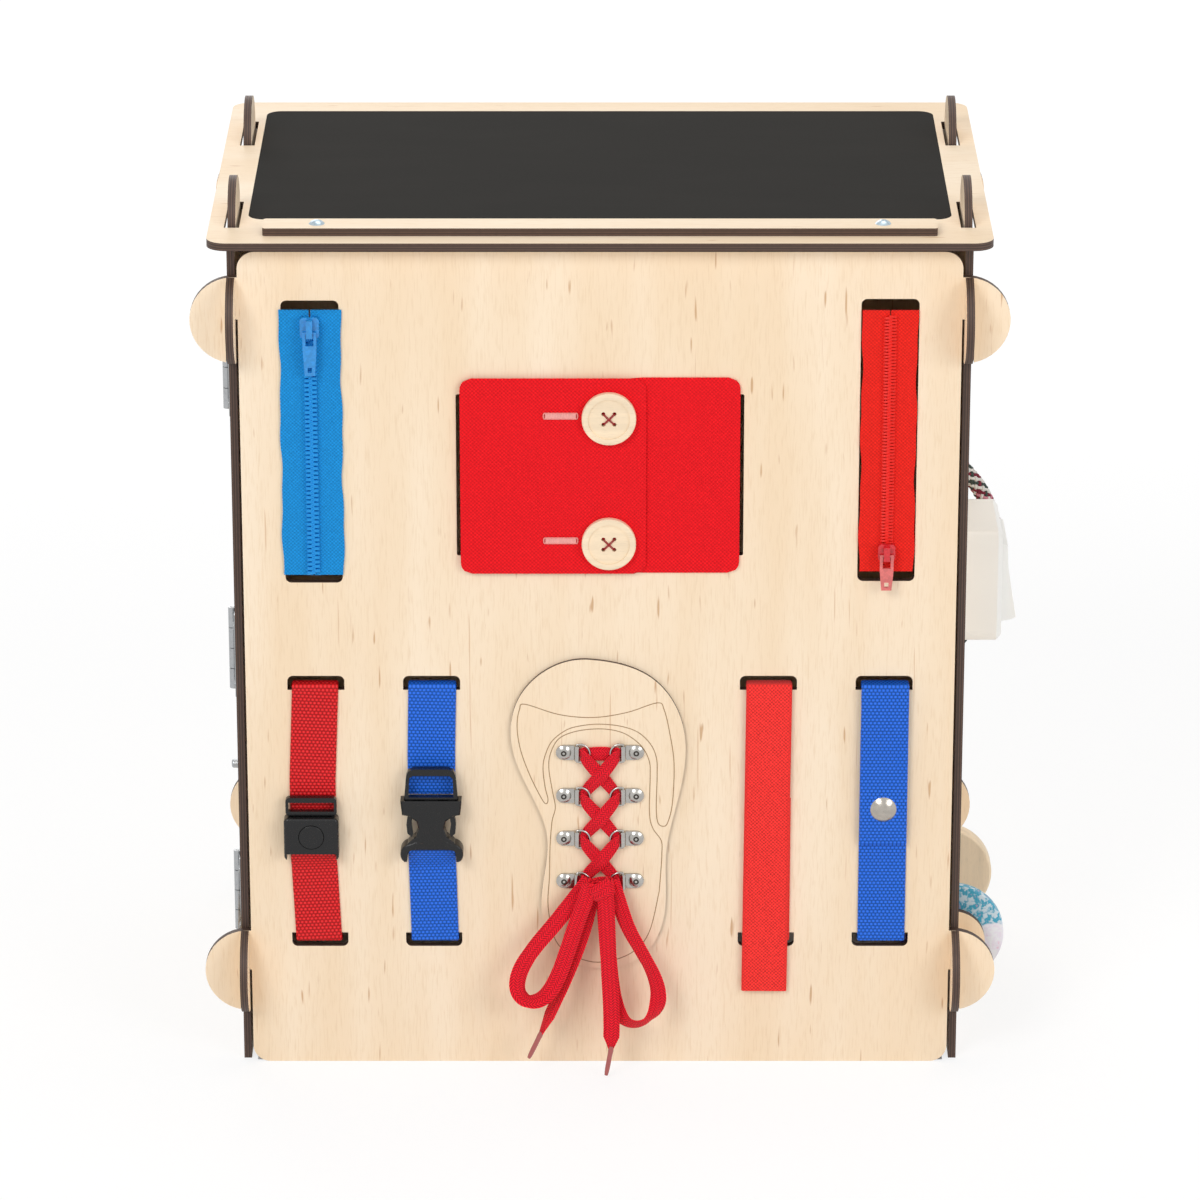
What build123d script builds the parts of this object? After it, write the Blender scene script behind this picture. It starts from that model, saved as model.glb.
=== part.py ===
"""Wooden busy board: a plywood box with fastenings to practise on every side.

Millimetres. X is to the right, Y to the back and Z up. The origin is the middle of the
front panel's bottom edge, in the middle of the panel's thickness. The box is open below.
"""
import os
from math import atan2, degrees, pi, radians, tan

from build123d import *

# ---------------------------------------------------------------- driving dimensions
# Plywood box
ply = 4.0
front_width = 364.0
side_height = 448.5
lid_drop = 3.5  # from the top of a side panel down to the top of the front and back panels
corner_radius = 9.0
box_depth = 226.0  # middle of the front panel to middle of the back panel
panel_gap = 1.2  # front panel's edge to the side panel's inner face
joint_clearance = 0.1

# Cross-halved ears that lock the four panels together
ear_radius = 22.7
ear_reach = 24.3  # from the front panel's edge to the tip of its ear
side_ear_reach = 22.0  # from the front panel's middle to the tip of a side panel's ear
ear_low_z = 52.1
ear_from_top = 39.5  # from the top of a side panel down to its upper ears

# Lid with a chalkboard
lid_side_overhang = 14.8  # from the front panel's edge to the lid's edge
lid_front_overhang = 10.0
lid_back_overhang = 15.6
lid_corner_radius = 10.0
lid_ear_radius = 21.5
lid_ear_neck = 2.5
lid_ear_front_y = 37.2
lid_ear_from_back = 42.1  # from the middle of the back panel to the rear ear
lid_slot_length = 45.0
lid_slot_width = 7.7
chalkboard_side_margin = 19.1
chalkboard_shortfall = 28.4  # how much shorter it is than the box is deep
chalkboard_thickness = 2.0
chalkboard_shift = 14.8  # from the middle of the box's depth to the middle of the board
chalkboard_radius = 8.0
ledge_shortfall = 17.4  # how much shorter it is than the chalkboard is wide
ledge_depth = 16.9
ledge_y = 9.0
ledge_screw_inset = 27.0
screw_head_radius = 4.0
screw_head_height = 2.0
screw_radius = 1.5
screw_length = 7.0

# Zips
zip_x = 145.85
zip_window_width = 29.2
zip_window_height = 151.0
zip_window_radius = 3.0
zip_from_top = 101.0  # from the top of the front panel to the middle of the blue zip
red_zip_raise = 0.85  # how much higher the red zip sits
tape_thickness = 1.0
tape_gap = 0.9  # half the gap between the two tapes of a zip
tape_tail = 11.0  # what is glued behind the panel, past the window
blue_tape_width = 31.5
blue_tape_end_gap = 4.7  # from the window's end to the tape's end
blue_chain_width = 6.3
blue_chain_pitch = 2.4
red_tape_width = 28.3
red_tape_end_gap = 5.7
red_chain_width = 5.4
red_chain_pitch = 1.7
chain_thickness = 2.4
slider_wall = 1.3
slider_clearance = 0.35
blue_slider_length = 11.0
red_slider_length = 9.0
blue_slider_rise = 62.5  # from the middle of the zip to its slider
red_slider_drop = 58.35
bridge_width = 3.2
bridge_bar = 1.1
bridge_inset = 0.8
bridge_leg = 1.2
pull_pin_radius = 0.7
pull_thickness = 1.4
blue_pull_length = 22.2
red_pull_length = 18.4
pull_width = 7.0
pull_end_width = 5.2

# Buttoned cloth flap
flap_slot_x = 70.4
flap_slot_width = 5.0
flap_slot_height = 86.6
flap_from_top = 118.4  # from the top of the front panel to the middle of the flap
flap_height = 104.7
flap_edge_x = 70.9
flap_over_edge_x = 23.4
flap_under_edge_x = -45.0
cloth_thickness = 1.2
cloth_radius = 6.0
cloth_tail = 20.0  # what is glued behind the panel
button_radius = 13.8
button_thickness = 3.6
button_x = 4.5
button_low_drop = 35.3  # from the middle of the flap to the lower button
button_high_rise = 31.9
button_hole_radius = 1.05
button_hole_spacing = 5.6
buttonhole_length = 35.0
buttonhole_height = 2.4

# Webbing straps
strap_slot_width = 29.3
strap_slot_height = 7.7
strap_slot_radius = 3.0
strap_top_slot_z = 213.55
strap_bottom_slot_z = 69.9
outer_slot_x = 145.95
inner_slot_x = 86.5
webbing_thickness = 1.4
webbing_bend = 1.6
skin_gap = 0.15  # a strap or cloth to the board that it lies on
layer_gap = 0.3  # one layer of strap or cloth to the next
red_strap_x = -148.5
red_strap_width = 23.8
blue_strap_x = -87.0
blue_strap_width = 24.6
touch_strap_x = 86.9
touch_strap_width = 23.6
touch_strap_end_z = 41.7
touch_base_end_z = 150.0
snap_strap_x = 146.5
snap_strap_width = 24.6
snap_flap_end_z = 125.8
snap_base_end_z = 188.0
flap_hinge_drop = 4.0  # from the middle of the slot down to the line that a flap folds on
flap_hinge_gap = 1.2  # from that line to the flap

# Snap fastener
snap_z = 144.8
snap_cap_radius = 6.75
snap_cap_height = 2.6
snap_ring_radius = 4.6
snap_ring_wall = 1.2
snap_ring_height = 0.9
snap_post_radius = 1.4
snap_lift = 0.95  # more gap between the snap strap's layers, for the fastener

# Centre-press buckle
press_x = -149.3
press_width = 28.4
press_back_y = -3.9
press_depth = 7.6
press_low_z = 121.9
press_leg_z = 118.0
press_high_z = 141.7
press_wall = 1.4
press_leg = 1.4
press_button_radius = 6.4
press_button_z = 131.4
press_button_well = 1.0  # room behind the button for its travel
tongue_width = 19.6
tongue_thickness = 1.6
tongue_frame_width = 26.4
tongue_frame_high_z = 151.9
tongue_frame_depth = 3.4
tongue_bar = 2.5

# Side-release buckle
side_x = -87.2
side_back_y = -4.0
side_depth = 8.0
side_wall = 1.7
socket_low_z = 117.6
socket_bar_z = 124.2
socket_lobe_width = 29.8
socket_waist_width = 13.2
socket_waist_z = 136.0
socket_collar_z = 143.9
socket_high_z = 151.6
socket_width = 31.6
prong_reach = 12.85
prong_thickness = 3.6
prong_low_z = 130.4
prong_frame_width = 25.6
prong_frame_high_z = 168.7
prong_bar = 3.6

# Shoe for lacing
shoe_thickness = 2.0
shoe_width = 90.0
shoe_height = 172.8
shoe_low_z = 54.2
shoe_outline = [  # points round the sole, in shares of its width and height
    (-0.0556, 1.0),
    (-0.3333, 0.9566),
    (-0.4778, 0.8611),
    (-0.5, 0.7106),
    (-0.3722, 0.5428),
    (-0.3067, 0.4416),
    (-0.3389, 0.213),
    (-0.2167, 0.0394),
    (-0.0033, 0.0),
    (0.2311, 0.0347),
    (0.3667, 0.1609),
    (0.38, 0.3692),
    (0.4778, 0.6296),
    (0.4611, 0.8148),
    (0.3144, 0.9334),
]
clip_rows_z = (176.1, 152.1, 128.2, 104.3)
clip_rivet_x = 18.7
clip_rivet_radius = 3.85
clip_rivet_height = 1.4
clip_fold_x = 11.9
clip_height = 8.0
clip_thickness = 1.2
ring_wire_radius = 0.6
ring_height = 10.4
ring_tip_x = 5.4
lace_width = 8.5
lace_thickness = 1.2
lace_inset = 6.0  # from a ring's bar to where a lace turns back
lace_tube_radius = 1.9  # a round tube of the flat braid's own section
knot_low_z = 98.9
knot_width = 20.0
knot_height = 9.0
knot_back_y = -8.2
knot_depth = 10.3
aglet_radius = 1.3
aglet_gap = 0.4

# Doors of the left side
door_height = 104.0
door_posts = 76.0  # what a door leaves of the box's depth
door_gap = 0.8
door_low_z = 87.0
door_middle_z = 223.0
door_from_top = 72.5  # from the top of the side panel to the middle of the top door
door_hole_radius = 10.0
door_hole_inset = 22.0
hinge_length = 45.0
hinge_y = 25.0
hinge_barrel_radius = 2.3
hinge_pin_radius = 1.1
hinge_pin_clearance = 0.06
hinge_leaf = 1.0
hinge_leaf_width = 13.5
knuckle_count = 4
knuckle_gap = 0.4
latch_from_back = 37.0
turn_button_length = 36.0
turn_button_width = 13.0
turn_catch_length = 30.0
turn_catch_width = 9.0
turn_catch_thickness = 2.0
bolt_radius = 2.5
bolt_length = 36.0
bolt_plate_length = 34.0
bolt_plate_height = 24.0
bolt_plate_thickness = 1.2
bolt_loop_length = 3.2
bolt_loop_wall = 1.3
bolt_knob_length = 7.0
bolt_draw_gap = 2.4  # from the door's edge to the drawn bolt
bolt_neck_radius = 1.7

# Light switch of the right side
switch_y = 88.0
switch_z = 242.5
switch_width = 60.0
switch_height = 61.0
switch_depth = 22.5
switch_wall = 2.0
switch_corner = 7.0
rocker_width = 40.0
rocker_height = 46.0
rocker_clearance = 0.5
rocker_pivot_depth = 9.0
rocker_proud_low = 8.0
rocker_proud_high = 3.0

# Rope handle
rope_radius = 4.0
rope_y = 138.0
rope_top_z = 287.0
rope_bottom_z = 180.0
rope_hole_clearance = 0.2
rope_knot_radius = 8.0
rope_knot_length = 13.0

# Spinning wheels of the right side
wheel_window_z = 60.0
wheel_window_height = 62.0
axle_radius = 3.0
axle_front_y = 18.0
axle_back_y = 132.0
wheel_bore_clearance = 0.08
bracket_radius = 17.0
colour_wheel_radius = 27.5
colour_wheel_y = 30.0
colour_wheel_thickness = 5.0
wooden_wheel_radius = 26.0
wooden_wheel_y = 113.0
wooden_wheel_thickness = 10.0
wooden_wheel_edge = 1.5

# ---------------------------------------------------------------- places worked out from them
front_height = side_height - lid_drop
front_y = -ply / 2
back_of_front_y = ply / 2
side_in_x = front_width / 2 + panel_gap
side_out_x = side_in_x + ply
side_mid_x = side_in_x + ply / 2
ear_high_z = side_height - ear_from_top
lid_width = front_width + 2 * lid_side_overhang
lid_ear_back_y = box_depth - lid_ear_from_back
chalkboard_width = lid_width - 2 * chalkboard_side_margin
chalkboard_depth = box_depth - chalkboard_shortfall
chalkboard_y = box_depth / 2 + chalkboard_shift
ledge_width = chalkboard_width - ledge_shortfall
ledge_screw_x = ledge_width / 2 - ledge_screw_inset
blue_zip_z = front_height - zip_from_top
red_zip_z = blue_zip_z + red_zip_raise
blue_tape_length = zip_window_height - 2 * blue_tape_end_gap
red_tape_length = zip_window_height - 2 * red_tape_end_gap
blue_slider_z = blue_zip_z + blue_slider_rise
red_slider_z = red_zip_z - red_slider_drop
flap_z = front_height - flap_from_top
button_low_z = flap_z - button_low_drop
button_high_z = flap_z + button_high_rise
door_length = box_depth - door_posts
door_high_z = side_height - door_from_top
latch_y = box_depth - latch_from_back
lid_low_z = side_height
lid_high_z = lid_low_z + ply
lid_low_y = front_y - lid_front_overhang
lid_high_y = box_depth + ply / 2 + lid_back_overhang
hinge_x = -(side_out_x + hinge_barrel_radius + 0.1)
tape_y = front_y - skin_gap - tape_thickness  # front of a zip's tape
cloth_y = front_y - skin_gap - cloth_thickness  # front of the lower cloth layer
strap_y = front_y - skin_gap - webbing_thickness / 2  # middle of a strap that lies on the board
strap_back_y = back_of_front_y + skin_gap + webbing_thickness / 2
shoe_y = front_y - shoe_thickness


# ---------------------------------------------------------------- helpers
def front_plate(sketch, y_front, thickness):
    """A sketch in X and Z, made thick from y_front towards the back."""
    return extrude(Plane.XZ.offset(-(y_front + thickness)) * sketch, thickness)


def side_plate(sketch, x_low, thickness):
    """A sketch in Y and Z, made thick from x_low towards +X."""
    return extrude(Plane.YZ.offset(x_low) * sketch, thickness)


def flat_plate(sketch, z_low, thickness):
    """A sketch in X and Y, made thick upwards from z_low."""
    return extrude(Plane.XY.offset(z_low) * sketch, thickness)


def block(low, high):
    """A box between two corners."""
    size = [b - a for a, b in zip(low, high)]
    middle = [(a + b) / 2 for a, b in zip(low, high)]
    return Pos(*middle) * Box(*size)


def rod(start, end, radius):
    """A round bar between two points."""
    start, end = Vector(*start), Vector(*end)
    plane = Plane(origin=(start + end) * 0.5, z_dir=end - start)
    return plane * Cylinder(radius, (end - start).length)


def dome(base, tip, radius):
    """A screw or rivet head: part of a ball, from its flat base to its tip."""
    base, tip = Vector(*base), Vector(*tip)
    height = (tip - base).length
    ball = (radius**2 + height**2) / (2 * height)
    profile = make_face(
        [
            Line((0, 0), (radius, 0)),
            RadiusArc((radius, 0), (0, height), -ball),
            Line((0, height), (0, 0)),
        ]
    )
    turned = revolve(Plane.XZ * profile, Axis.Z)
    return Plane(origin=base, z_dir=tip - base) * turned


def band(route, width, thickness, across, bend=webbing_bend):
    """A flat strap along a route of straight runs, with its width along one axis."""
    path = Wire(FilletPolyline(*route, radius=bend).edges()) if len(route) > 2 else Wire(Line(*route))
    start = Plane(origin=path @ 0, x_dir=across, z_dir=path % 0)
    return sweep(start * Rectangle(width, thickness), path=path)


def upright_band(route, x, width, thickness, bend=webbing_bend):
    """A strap that runs up and down: its route is in Y and Z."""
    return band([(x, y, z) for y, z in route], width, thickness, (1, 0, 0), bend)


def save(name, *shapes):
    """Write one sub-part, whose separate solids stay separate."""
    solids = [solid for shape in shapes for solid in shape.solids()]
    export_step(Compound(solids), os.path.join("parts", f"{name}.step"))


# ---------------------------------------------------------------- plywood box
def strap_slot(x, z, rounded_up):
    """A strap's slot, rounded on its outer side and square on the side that holds the strap."""
    slot = RectangleRounded(strap_slot_width, strap_slot_height, strap_slot_radius)
    half = Rectangle(strap_slot_width, strap_slot_height / 2)
    square = Pos(0, (-1 if rounded_up else 1) * strap_slot_height / 4) * half
    return Pos(x, z) * (slot + square)


def wall_panel():
    """The outline that the front and back panels share, in X and Z."""
    outline = Pos(0, front_height / 2) * RectangleRounded(front_width, front_height, corner_radius)
    slot_width = side_out_x + joint_clearance - front_width / 2 + 1
    for side in (-1, 1):
        for z in (ear_low_z, ear_high_z):
            centre_x = side * (front_width / 2 + ear_reach - ear_radius)
            slot_x = side * (front_width / 2 - 1 + slot_width / 2)
            slot = Pos(slot_x + side, z - ear_radius / 2) * Rectangle(slot_width, ear_radius + 1)
            outline += Pos(centre_x, z) * Circle(ear_radius)
            outline -= slot
    return outline


def front_panel():
    outline = wall_panel()
    for side, z in ((-1, blue_zip_z), (1, red_zip_z)):
        window = RectangleRounded(zip_window_width, zip_window_height, zip_window_radius)
        flap_slot = RectangleRounded(flap_slot_width, flap_slot_height, 1)
        outline -= Pos(side * zip_x, z) * window
        outline -= Pos(side * flap_slot_x, flap_z) * flap_slot
        for x in (outer_slot_x, inner_slot_x):
            outline -= strap_slot(side * x, strap_top_slot_z, True)
            outline -= strap_slot(side * x, strap_bottom_slot_z, False)
    return front_plate(outline, front_y, ply)


def back_panel():
    return front_plate(wall_panel(), box_depth + front_y, ply)


def side_outline():
    """The outline that both side panels share, in Y and Z."""
    near = back_of_front_y + joint_clearance
    far = box_depth - near
    outline = Pos((near + far) / 2, side_height / 2) * Rectangle(far - near, side_height)
    slot = Rectangle(ply + 2 * joint_clearance, ear_radius + 1)
    for y, tip in ((0, -side_ear_reach), (box_depth, box_depth + side_ear_reach)):
        for z in (ear_low_z, ear_high_z):
            middle = tip + (ear_radius if y == 0 else -ear_radius)
            outline += Pos(middle, z) * Circle(ear_radius)
            outline -= Pos(y, z + (ear_radius + 1) / 2) * slot
    for y in (lid_ear_front_y, lid_ear_back_y):
        neck = Rectangle(2 * lid_ear_radius, 2 * lid_ear_neck)
        outline += Pos(y, side_height) * neck
        outline += Pos(y, side_height + lid_ear_neck) * Circle(lid_ear_radius)
    return outline


def door_places():
    return (("top", door_high_z), ("middle", door_middle_z), ("bottom", door_low_z))


def door_middle_y():
    return hinge_y + door_gap * 2 + door_length / 2


def left_panel():
    outline = side_outline()
    for _, z in door_places():
        window = Rectangle(door_length + 2 * door_gap, door_height + 2 * door_gap)
        outline -= Pos(door_middle_y(), z) * window
    return side_plate(outline, -side_out_x, ply)


def right_panel():
    outline = side_outline()
    window_length = axle_back_y - axle_front_y
    outline -= Pos((axle_front_y + axle_back_y) / 2, wheel_window_z) * Rectangle(
        window_length, wheel_window_height
    )
    for z in (rope_top_z, rope_bottom_z):
        outline -= Pos(rope_y, z) * Circle(rope_radius + rope_hole_clearance)
    return side_plate(outline, side_in_x, ply)


# ---------------------------------------------------------------- lid
def lid_panel():
    depth = lid_high_y - lid_low_y
    outline = Pos(0, (lid_low_y + lid_high_y) / 2) * RectangleRounded(
        lid_width, depth, lid_corner_radius
    )
    for side in (-1, 1):
        for y in (lid_ear_front_y, lid_ear_back_y):
            slot = Rectangle(lid_slot_width, lid_slot_length)
            outline -= Pos(side * side_mid_x, y) * slot
        outline -= Pos(side * ledge_screw_x, ledge_y) * Circle(screw_radius + joint_clearance)
    pocket = RectangleRounded(
        chalkboard_width + 2 * joint_clearance,
        chalkboard_depth + 2 * joint_clearance,
        chalkboard_radius,
    )
    pocket_z = lid_high_z - chalkboard_thickness
    return flat_plate(outline, lid_low_z, ply) - flat_plate(
        Pos(0, chalkboard_y) * pocket, pocket_z, ply
    )


def chalkboard():
    board = RectangleRounded(chalkboard_width, chalkboard_depth, chalkboard_radius)
    place = Pos(0, chalkboard_y) * board
    return flat_plate(place, lid_high_z - chalkboard_thickness, chalkboard_thickness)


def chalk_ledge():
    outline = Pos(0, ledge_y) * RectangleRounded(ledge_width, ledge_depth, 1.5)
    for side in (-1, 1):
        outline -= Pos(side * ledge_screw_x, ledge_y) * Circle(screw_radius + joint_clearance)
    return flat_plate(outline, lid_high_z, ply)


def ledge_screws():
    seat = lid_high_z + ply
    screws = []
    for side in (-1, 1):
        x = side * ledge_screw_x
        head = dome((x, ledge_y, seat), (x, ledge_y, seat + screw_head_height), screw_head_radius)
        shank = rod((x, ledge_y, seat - screw_length), (x, ledge_y, seat + 0.5), screw_radius)
        screws.append(head + shank)
    return screws


# ---------------------------------------------------------------- zips
def zip_tape(x, z, width, length, chain_width, pitch):
    """Two tapes with their ends folded back through the window, and the chain of teeth."""
    low, high = z - length / 2, z + length / 2
    middle_y = tape_y + tape_thickness / 2
    behind_y = back_of_front_y + skin_gap + tape_thickness / 2
    fold = zip_window_height / 2 - 2.2
    narrow = zip_window_width - 1.0
    ends = [
        [(middle_y, z + end * (length / 2 - 6)), (middle_y, z + end * length / 2)]
        + [(behind_y, z + end * fold), (behind_y, z + end * (fold + tape_tail))]
        for end in (-1, 1)
    ]
    tape = front_plate(Pos(x, z) * Rectangle(width, length - 3), tape_y, tape_thickness)
    for route in ends:
        tape += upright_band(route, x, narrow, tape_thickness, 1.4)
    reach = zip_window_height
    tape -= block((x - tape_gap, tape_y - 1, z - reach), (x + tape_gap, behind_y + 2, z + reach))
    teeth = int((length - 4) / pitch)
    outline = Pos(x, z) * Rectangle(chain_width * 0.62, teeth * pitch)
    bottom = z - teeth * pitch / 2 + pitch / 2
    for n in range(teeth):
        outline += Pos(x, bottom + n * pitch) * Rectangle(chain_width, pitch * 0.55)
    chain = front_plate(outline, tape_y - chain_thickness, chain_thickness)
    return [tape, chain]


def slider_top_y():
    """The front face of a zip slider's body."""
    return tape_y - chain_thickness - slider_clearance - slider_wall


def pull_pin_y():
    """The middle of the pin that a slider's pull swings on."""
    return slider_top_y() - 0.3 - pull_pin_radius


def pull_pin_z(slider_z, length):
    """The pin hangs at the low end of the slider's bridge."""
    return slider_z - (length / 2 - bridge_inset - bridge_leg - pull_pin_radius - 0.4)


def zip_slider(x, z, length, chain_width):
    """A channel over the chain, with a bridge that holds the pull."""
    inner = chain_width / 2 + slider_clearance
    width = 2 * (inner + slider_wall)
    front = slider_top_y()
    body = front_plate(
        Pos(x, z) * RectangleRounded(width, length, 2.0), front, tape_y - slider_clearance - front
    )
    channel_front = tape_y - chain_thickness - slider_clearance
    body -= block((x - inner, channel_front, z - length), (x + inner, tape_y, z + length))
    opening = 2 * (0.3 + pull_pin_radius)
    bridge_front = front - opening - bridge_bar
    half = length / 2 - bridge_inset
    bridge = block(
        (x - bridge_width / 2, bridge_front, z - half), (x + bridge_width / 2, front + 0.5, z + half)
    )
    bridge -= block(
        (x - bridge_width, front - opening, z - half + bridge_leg),
        (x + bridge_width, front, z + half - bridge_leg),
    )
    return body + bridge


def zip_pull(x, z, length):
    """A flat tab that hangs from a pin under the bridge."""
    y = pull_pin_y()
    arm = (pull_width - bridge_width - 0.8) / 2
    low = z - length
    shoulder = z - 6.5
    outline = make_face(
        Polyline(
            (x - pull_width / 2, z),
            (x + pull_width / 2, z),
            (x + pull_width / 2, shoulder - 2),
            (x + pull_end_width / 2, low),
            (x - pull_end_width / 2, low),
            (x - pull_width / 2, shoulder - 2),
            close=True,
        )
    )
    opening = Pos(x, (z + shoulder) / 2 + 1) * Rectangle(pull_width - 2 * arm, z - shoulder + 2)
    hole = Pos(x, low + 3) * RectangleRounded(2.2, 2.6, 0.4)
    tab = front_plate(outline - opening - hole, y - pull_thickness / 2, pull_thickness)
    pin = rod((x - pull_width / 2, y, z), (x + pull_width / 2, y, z), pull_pin_radius)
    return tab + pin


# ---------------------------------------------------------------- buttoned flap
def flap(edge_x, free_x, y, holes):
    """A cloth that comes out of one slot and lies over the board; y is its front face."""
    side = 1 if edge_x > 0 else -1
    middle = (edge_x + free_x) / 2
    cloth = front_plate(
        Pos(middle, flap_z) * RectangleRounded(abs(edge_x - free_x), flap_height, cloth_radius),
        y,
        cloth_thickness,
    )
    for z in holes:
        right = button_x + 2
        slit = Pos(right - buttonhole_length / 2, z) * Rectangle(buttonhole_length, buttonhole_height)
        cloth -= front_plate(slit, y - 1, cloth_thickness + 2)
    behind_y = back_of_front_y + skin_gap + cloth_thickness
    outer = edge_x - side * 0.1
    inner = outer - side * cloth_thickness
    height = flap_slot_height / 2 - 1
    near, far = sorted((outer, inner))
    cloth += block((near, y + 0.1, flap_z - height), (far, behind_y, flap_z + height))
    near, far = sorted((outer, outer - side * cloth_tail))
    cloth += block(
        (near, behind_y - cloth_thickness, flap_z - height), (far, behind_y, flap_z + height)
    )
    return cloth


def flap_over():
    y = cloth_y - layer_gap - cloth_thickness
    return flap(-flap_edge_x, flap_over_edge_x, y, (button_low_z + 1.2, button_high_z + 0.9))


def flap_under():
    return flap(flap_edge_x, flap_under_edge_x, cloth_y, ())


def flap_buttons():
    y = cloth_y - 2 * layer_gap - cloth_thickness - button_thickness
    buttons = []
    for z in (button_low_z, button_high_z):
        button = front_plate(Pos(button_x, z) * Circle(button_radius), y, button_thickness)
        button = fillet(button.edges().filter_by(GeomType.CIRCLE), 0.8)
        dish = Pos(button_x, z) * Circle(button_radius - 3.2)
        button -= front_plate(dish, y - 1, 1.7)
        for dx in (-0.5, 0.5):
            for dz in (-0.5, 0.5):
                place = Pos(button_x + dx * button_hole_spacing, z + dz * button_hole_spacing)
                button -= front_plate(place * Circle(button_hole_radius), y - 1, button_thickness + 2)
        buttons.append(button)
    return buttons


# ---------------------------------------------------------------- straps
def lower_strap(x, width, end_y, end_z):
    """From a buckle down through the bottom slot and up behind the board to the top slot."""
    low = [(strap_y, end_z - 14), (strap_y, strap_bottom_slot_z)]
    behind = [(strap_back_y, strap_bottom_slot_z), (strap_back_y, strap_top_slot_z - 3.4)]
    route = [(end_y, end_z), (end_y, end_z - 4)] + low + behind
    return upright_band(route, x, width, webbing_thickness)


def upper_strap(x, width, end_z):
    """From behind the top slot down the front to a buckle."""
    z = strap_top_slot_z - 0.8
    route = [(strap_back_y, z - 2.6), (strap_back_y, z), (strap_y, z), (strap_y, end_z)]
    return upright_band(route, x, width, webbing_thickness)


def base_strap(x, width, end_z, flap_y):
    """A whole loop: up the front from the bottom slot, and behind the board to the top slot's flap."""
    z = strap_top_slot_z - 0.8
    low = [(strap_y, end_z), (strap_y, strap_bottom_slot_z), (strap_back_y, strap_bottom_slot_z)]
    stub_z = strap_top_slot_z - flap_hinge_drop + flap_hinge_gap + 0.3
    high = [(strap_back_y, z), (flap_y, z), (flap_y, stub_z)]
    return upright_band(low + high, x, width, webbing_thickness, 1.1)


def strap_flap(x, width, end_z, y):
    """The free end of a strap, which folds up about a line just below the top slot."""
    top = strap_top_slot_z - flap_hinge_drop - flap_hinge_gap
    outline = Pos(x, (top + end_z) / 2) * Rectangle(width, top - end_z)
    return front_plate(outline, y - webbing_thickness / 2, webbing_thickness)


def touch_flap_y():
    return strap_y - webbing_thickness - layer_gap


def snap_flap_y():
    return touch_flap_y() - snap_lift


# ---------------------------------------------------------------- snap fastener
def snap_cap():
    """The sprung cap on the flap: its dome in front, its post and its ring behind."""
    x = snap_strap_x
    front = snap_flap_y() - webbing_thickness / 2
    back = front + webbing_thickness
    cap = dome((x, front, snap_z), (x, front - snap_cap_height, snap_z), snap_cap_radius)
    post = rod((x, front - 0.4, snap_z), (x, back + 0.2, snap_z), snap_post_radius)
    ring = rod((x, back, snap_z), (x, back + snap_ring_height, snap_z), snap_ring_radius)
    socket_radius = snap_ring_radius - snap_ring_wall
    ring -= rod((x, back + 0.35, snap_z), (x, back + 5, snap_z), socket_radius)
    return cap + post + ring


def snap_stud():
    """The stud on the base strap, which sits in the cap's ring."""
    x = snap_strap_x
    front = strap_y - webbing_thickness / 2
    radius = snap_ring_radius - snap_ring_wall - layer_gap
    return rod((x, front, snap_z), (x, front - 0.75, snap_z), radius)


# ---------------------------------------------------------------- centre-press buckle
def press_levels():
    """Front of the body, and front and back of the slot for the tongue."""
    front = press_back_y - press_depth
    return front, front + 2.6, press_back_y - press_wall


def press_buckle_body():
    front, slot_front, slot_back = press_levels()
    half = press_width / 2
    body = front_plate(
        Pos(press_x, (press_leg_z + press_high_z) / 2)
        * RectangleRounded(press_width, press_high_z - press_leg_z, 2.5),
        front,
        press_depth,
    )
    body = fillet(body.edges().filter_by(Axis.Z).group_by(Axis.Y)[0], 1.6)
    notch = half - press_leg
    body -= block(
        (press_x - notch, front - 1, press_leg_z - 1), (press_x + notch, press_back_y + 1, press_low_z)
    )
    strap_half = red_strap_width / 2 + joint_clearance
    body -= block(
        (red_strap_x - strap_half, slot_back - 2.2, press_low_z - 1),
        (red_strap_x + strap_half, slot_back, press_low_z + 4.5),
    )
    inner = tongue_width / 2 + layer_gap
    body -= block(
        (press_x - inner, slot_front, press_low_z + 5), (press_x + inner, slot_back, press_high_z + 1)
    )
    hole = Pos(press_x, press_button_z) * Circle(press_button_radius + layer_gap)
    return body - front_plate(hole, front - 1, slot_front - front + 1 + press_button_well)


def press_button():
    front, slot_front, _ = press_levels()
    button = front_plate(
        Pos(press_x, press_button_z) * Circle(press_button_radius), front - 0.4, slot_front - front - 0.1
    )
    return fillet(button.faces().sort_by(Axis.Y)[0].edges(), 0.4)


def press_buckle_tongue():
    _, _, slot_back = press_levels()
    y = slot_back - layer_gap - tongue_thickness
    low = press_low_z + 5 + 1
    frame_low = press_high_z + layer_gap
    tongue = front_plate(
        Pos(press_x, (low + frame_low) / 2 + 1) * RectangleRounded(tongue_width, frame_low - low + 2, 2),
        y,
        tongue_thickness,
    )
    height = tongue_frame_high_z - frame_low
    outline = Pos(press_x, frame_low + height / 2) * RectangleRounded(tongue_frame_width, height, 2)
    window = Pos(press_x, frame_low + height / 2 - 0.2) * Rectangle(
        tongue_frame_width - 2 * 1.4, height - 2 * tongue_bar
    )
    frame_y = press_back_y - tongue_frame_depth - 0.5
    frame = front_plate(outline - window, frame_y, tongue_frame_depth)
    return frame + tongue


# ---------------------------------------------------------------- side-release buckle
def mirrored_outline(points):
    """A closed outline from its right half, given from the top down as (x, z)."""
    right = [(side_x + x, z) for x, z in points]
    left = [(side_x - x, z) for x, z in reversed(points)]
    return make_face(Polyline(*right, *left, close=True))


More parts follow.
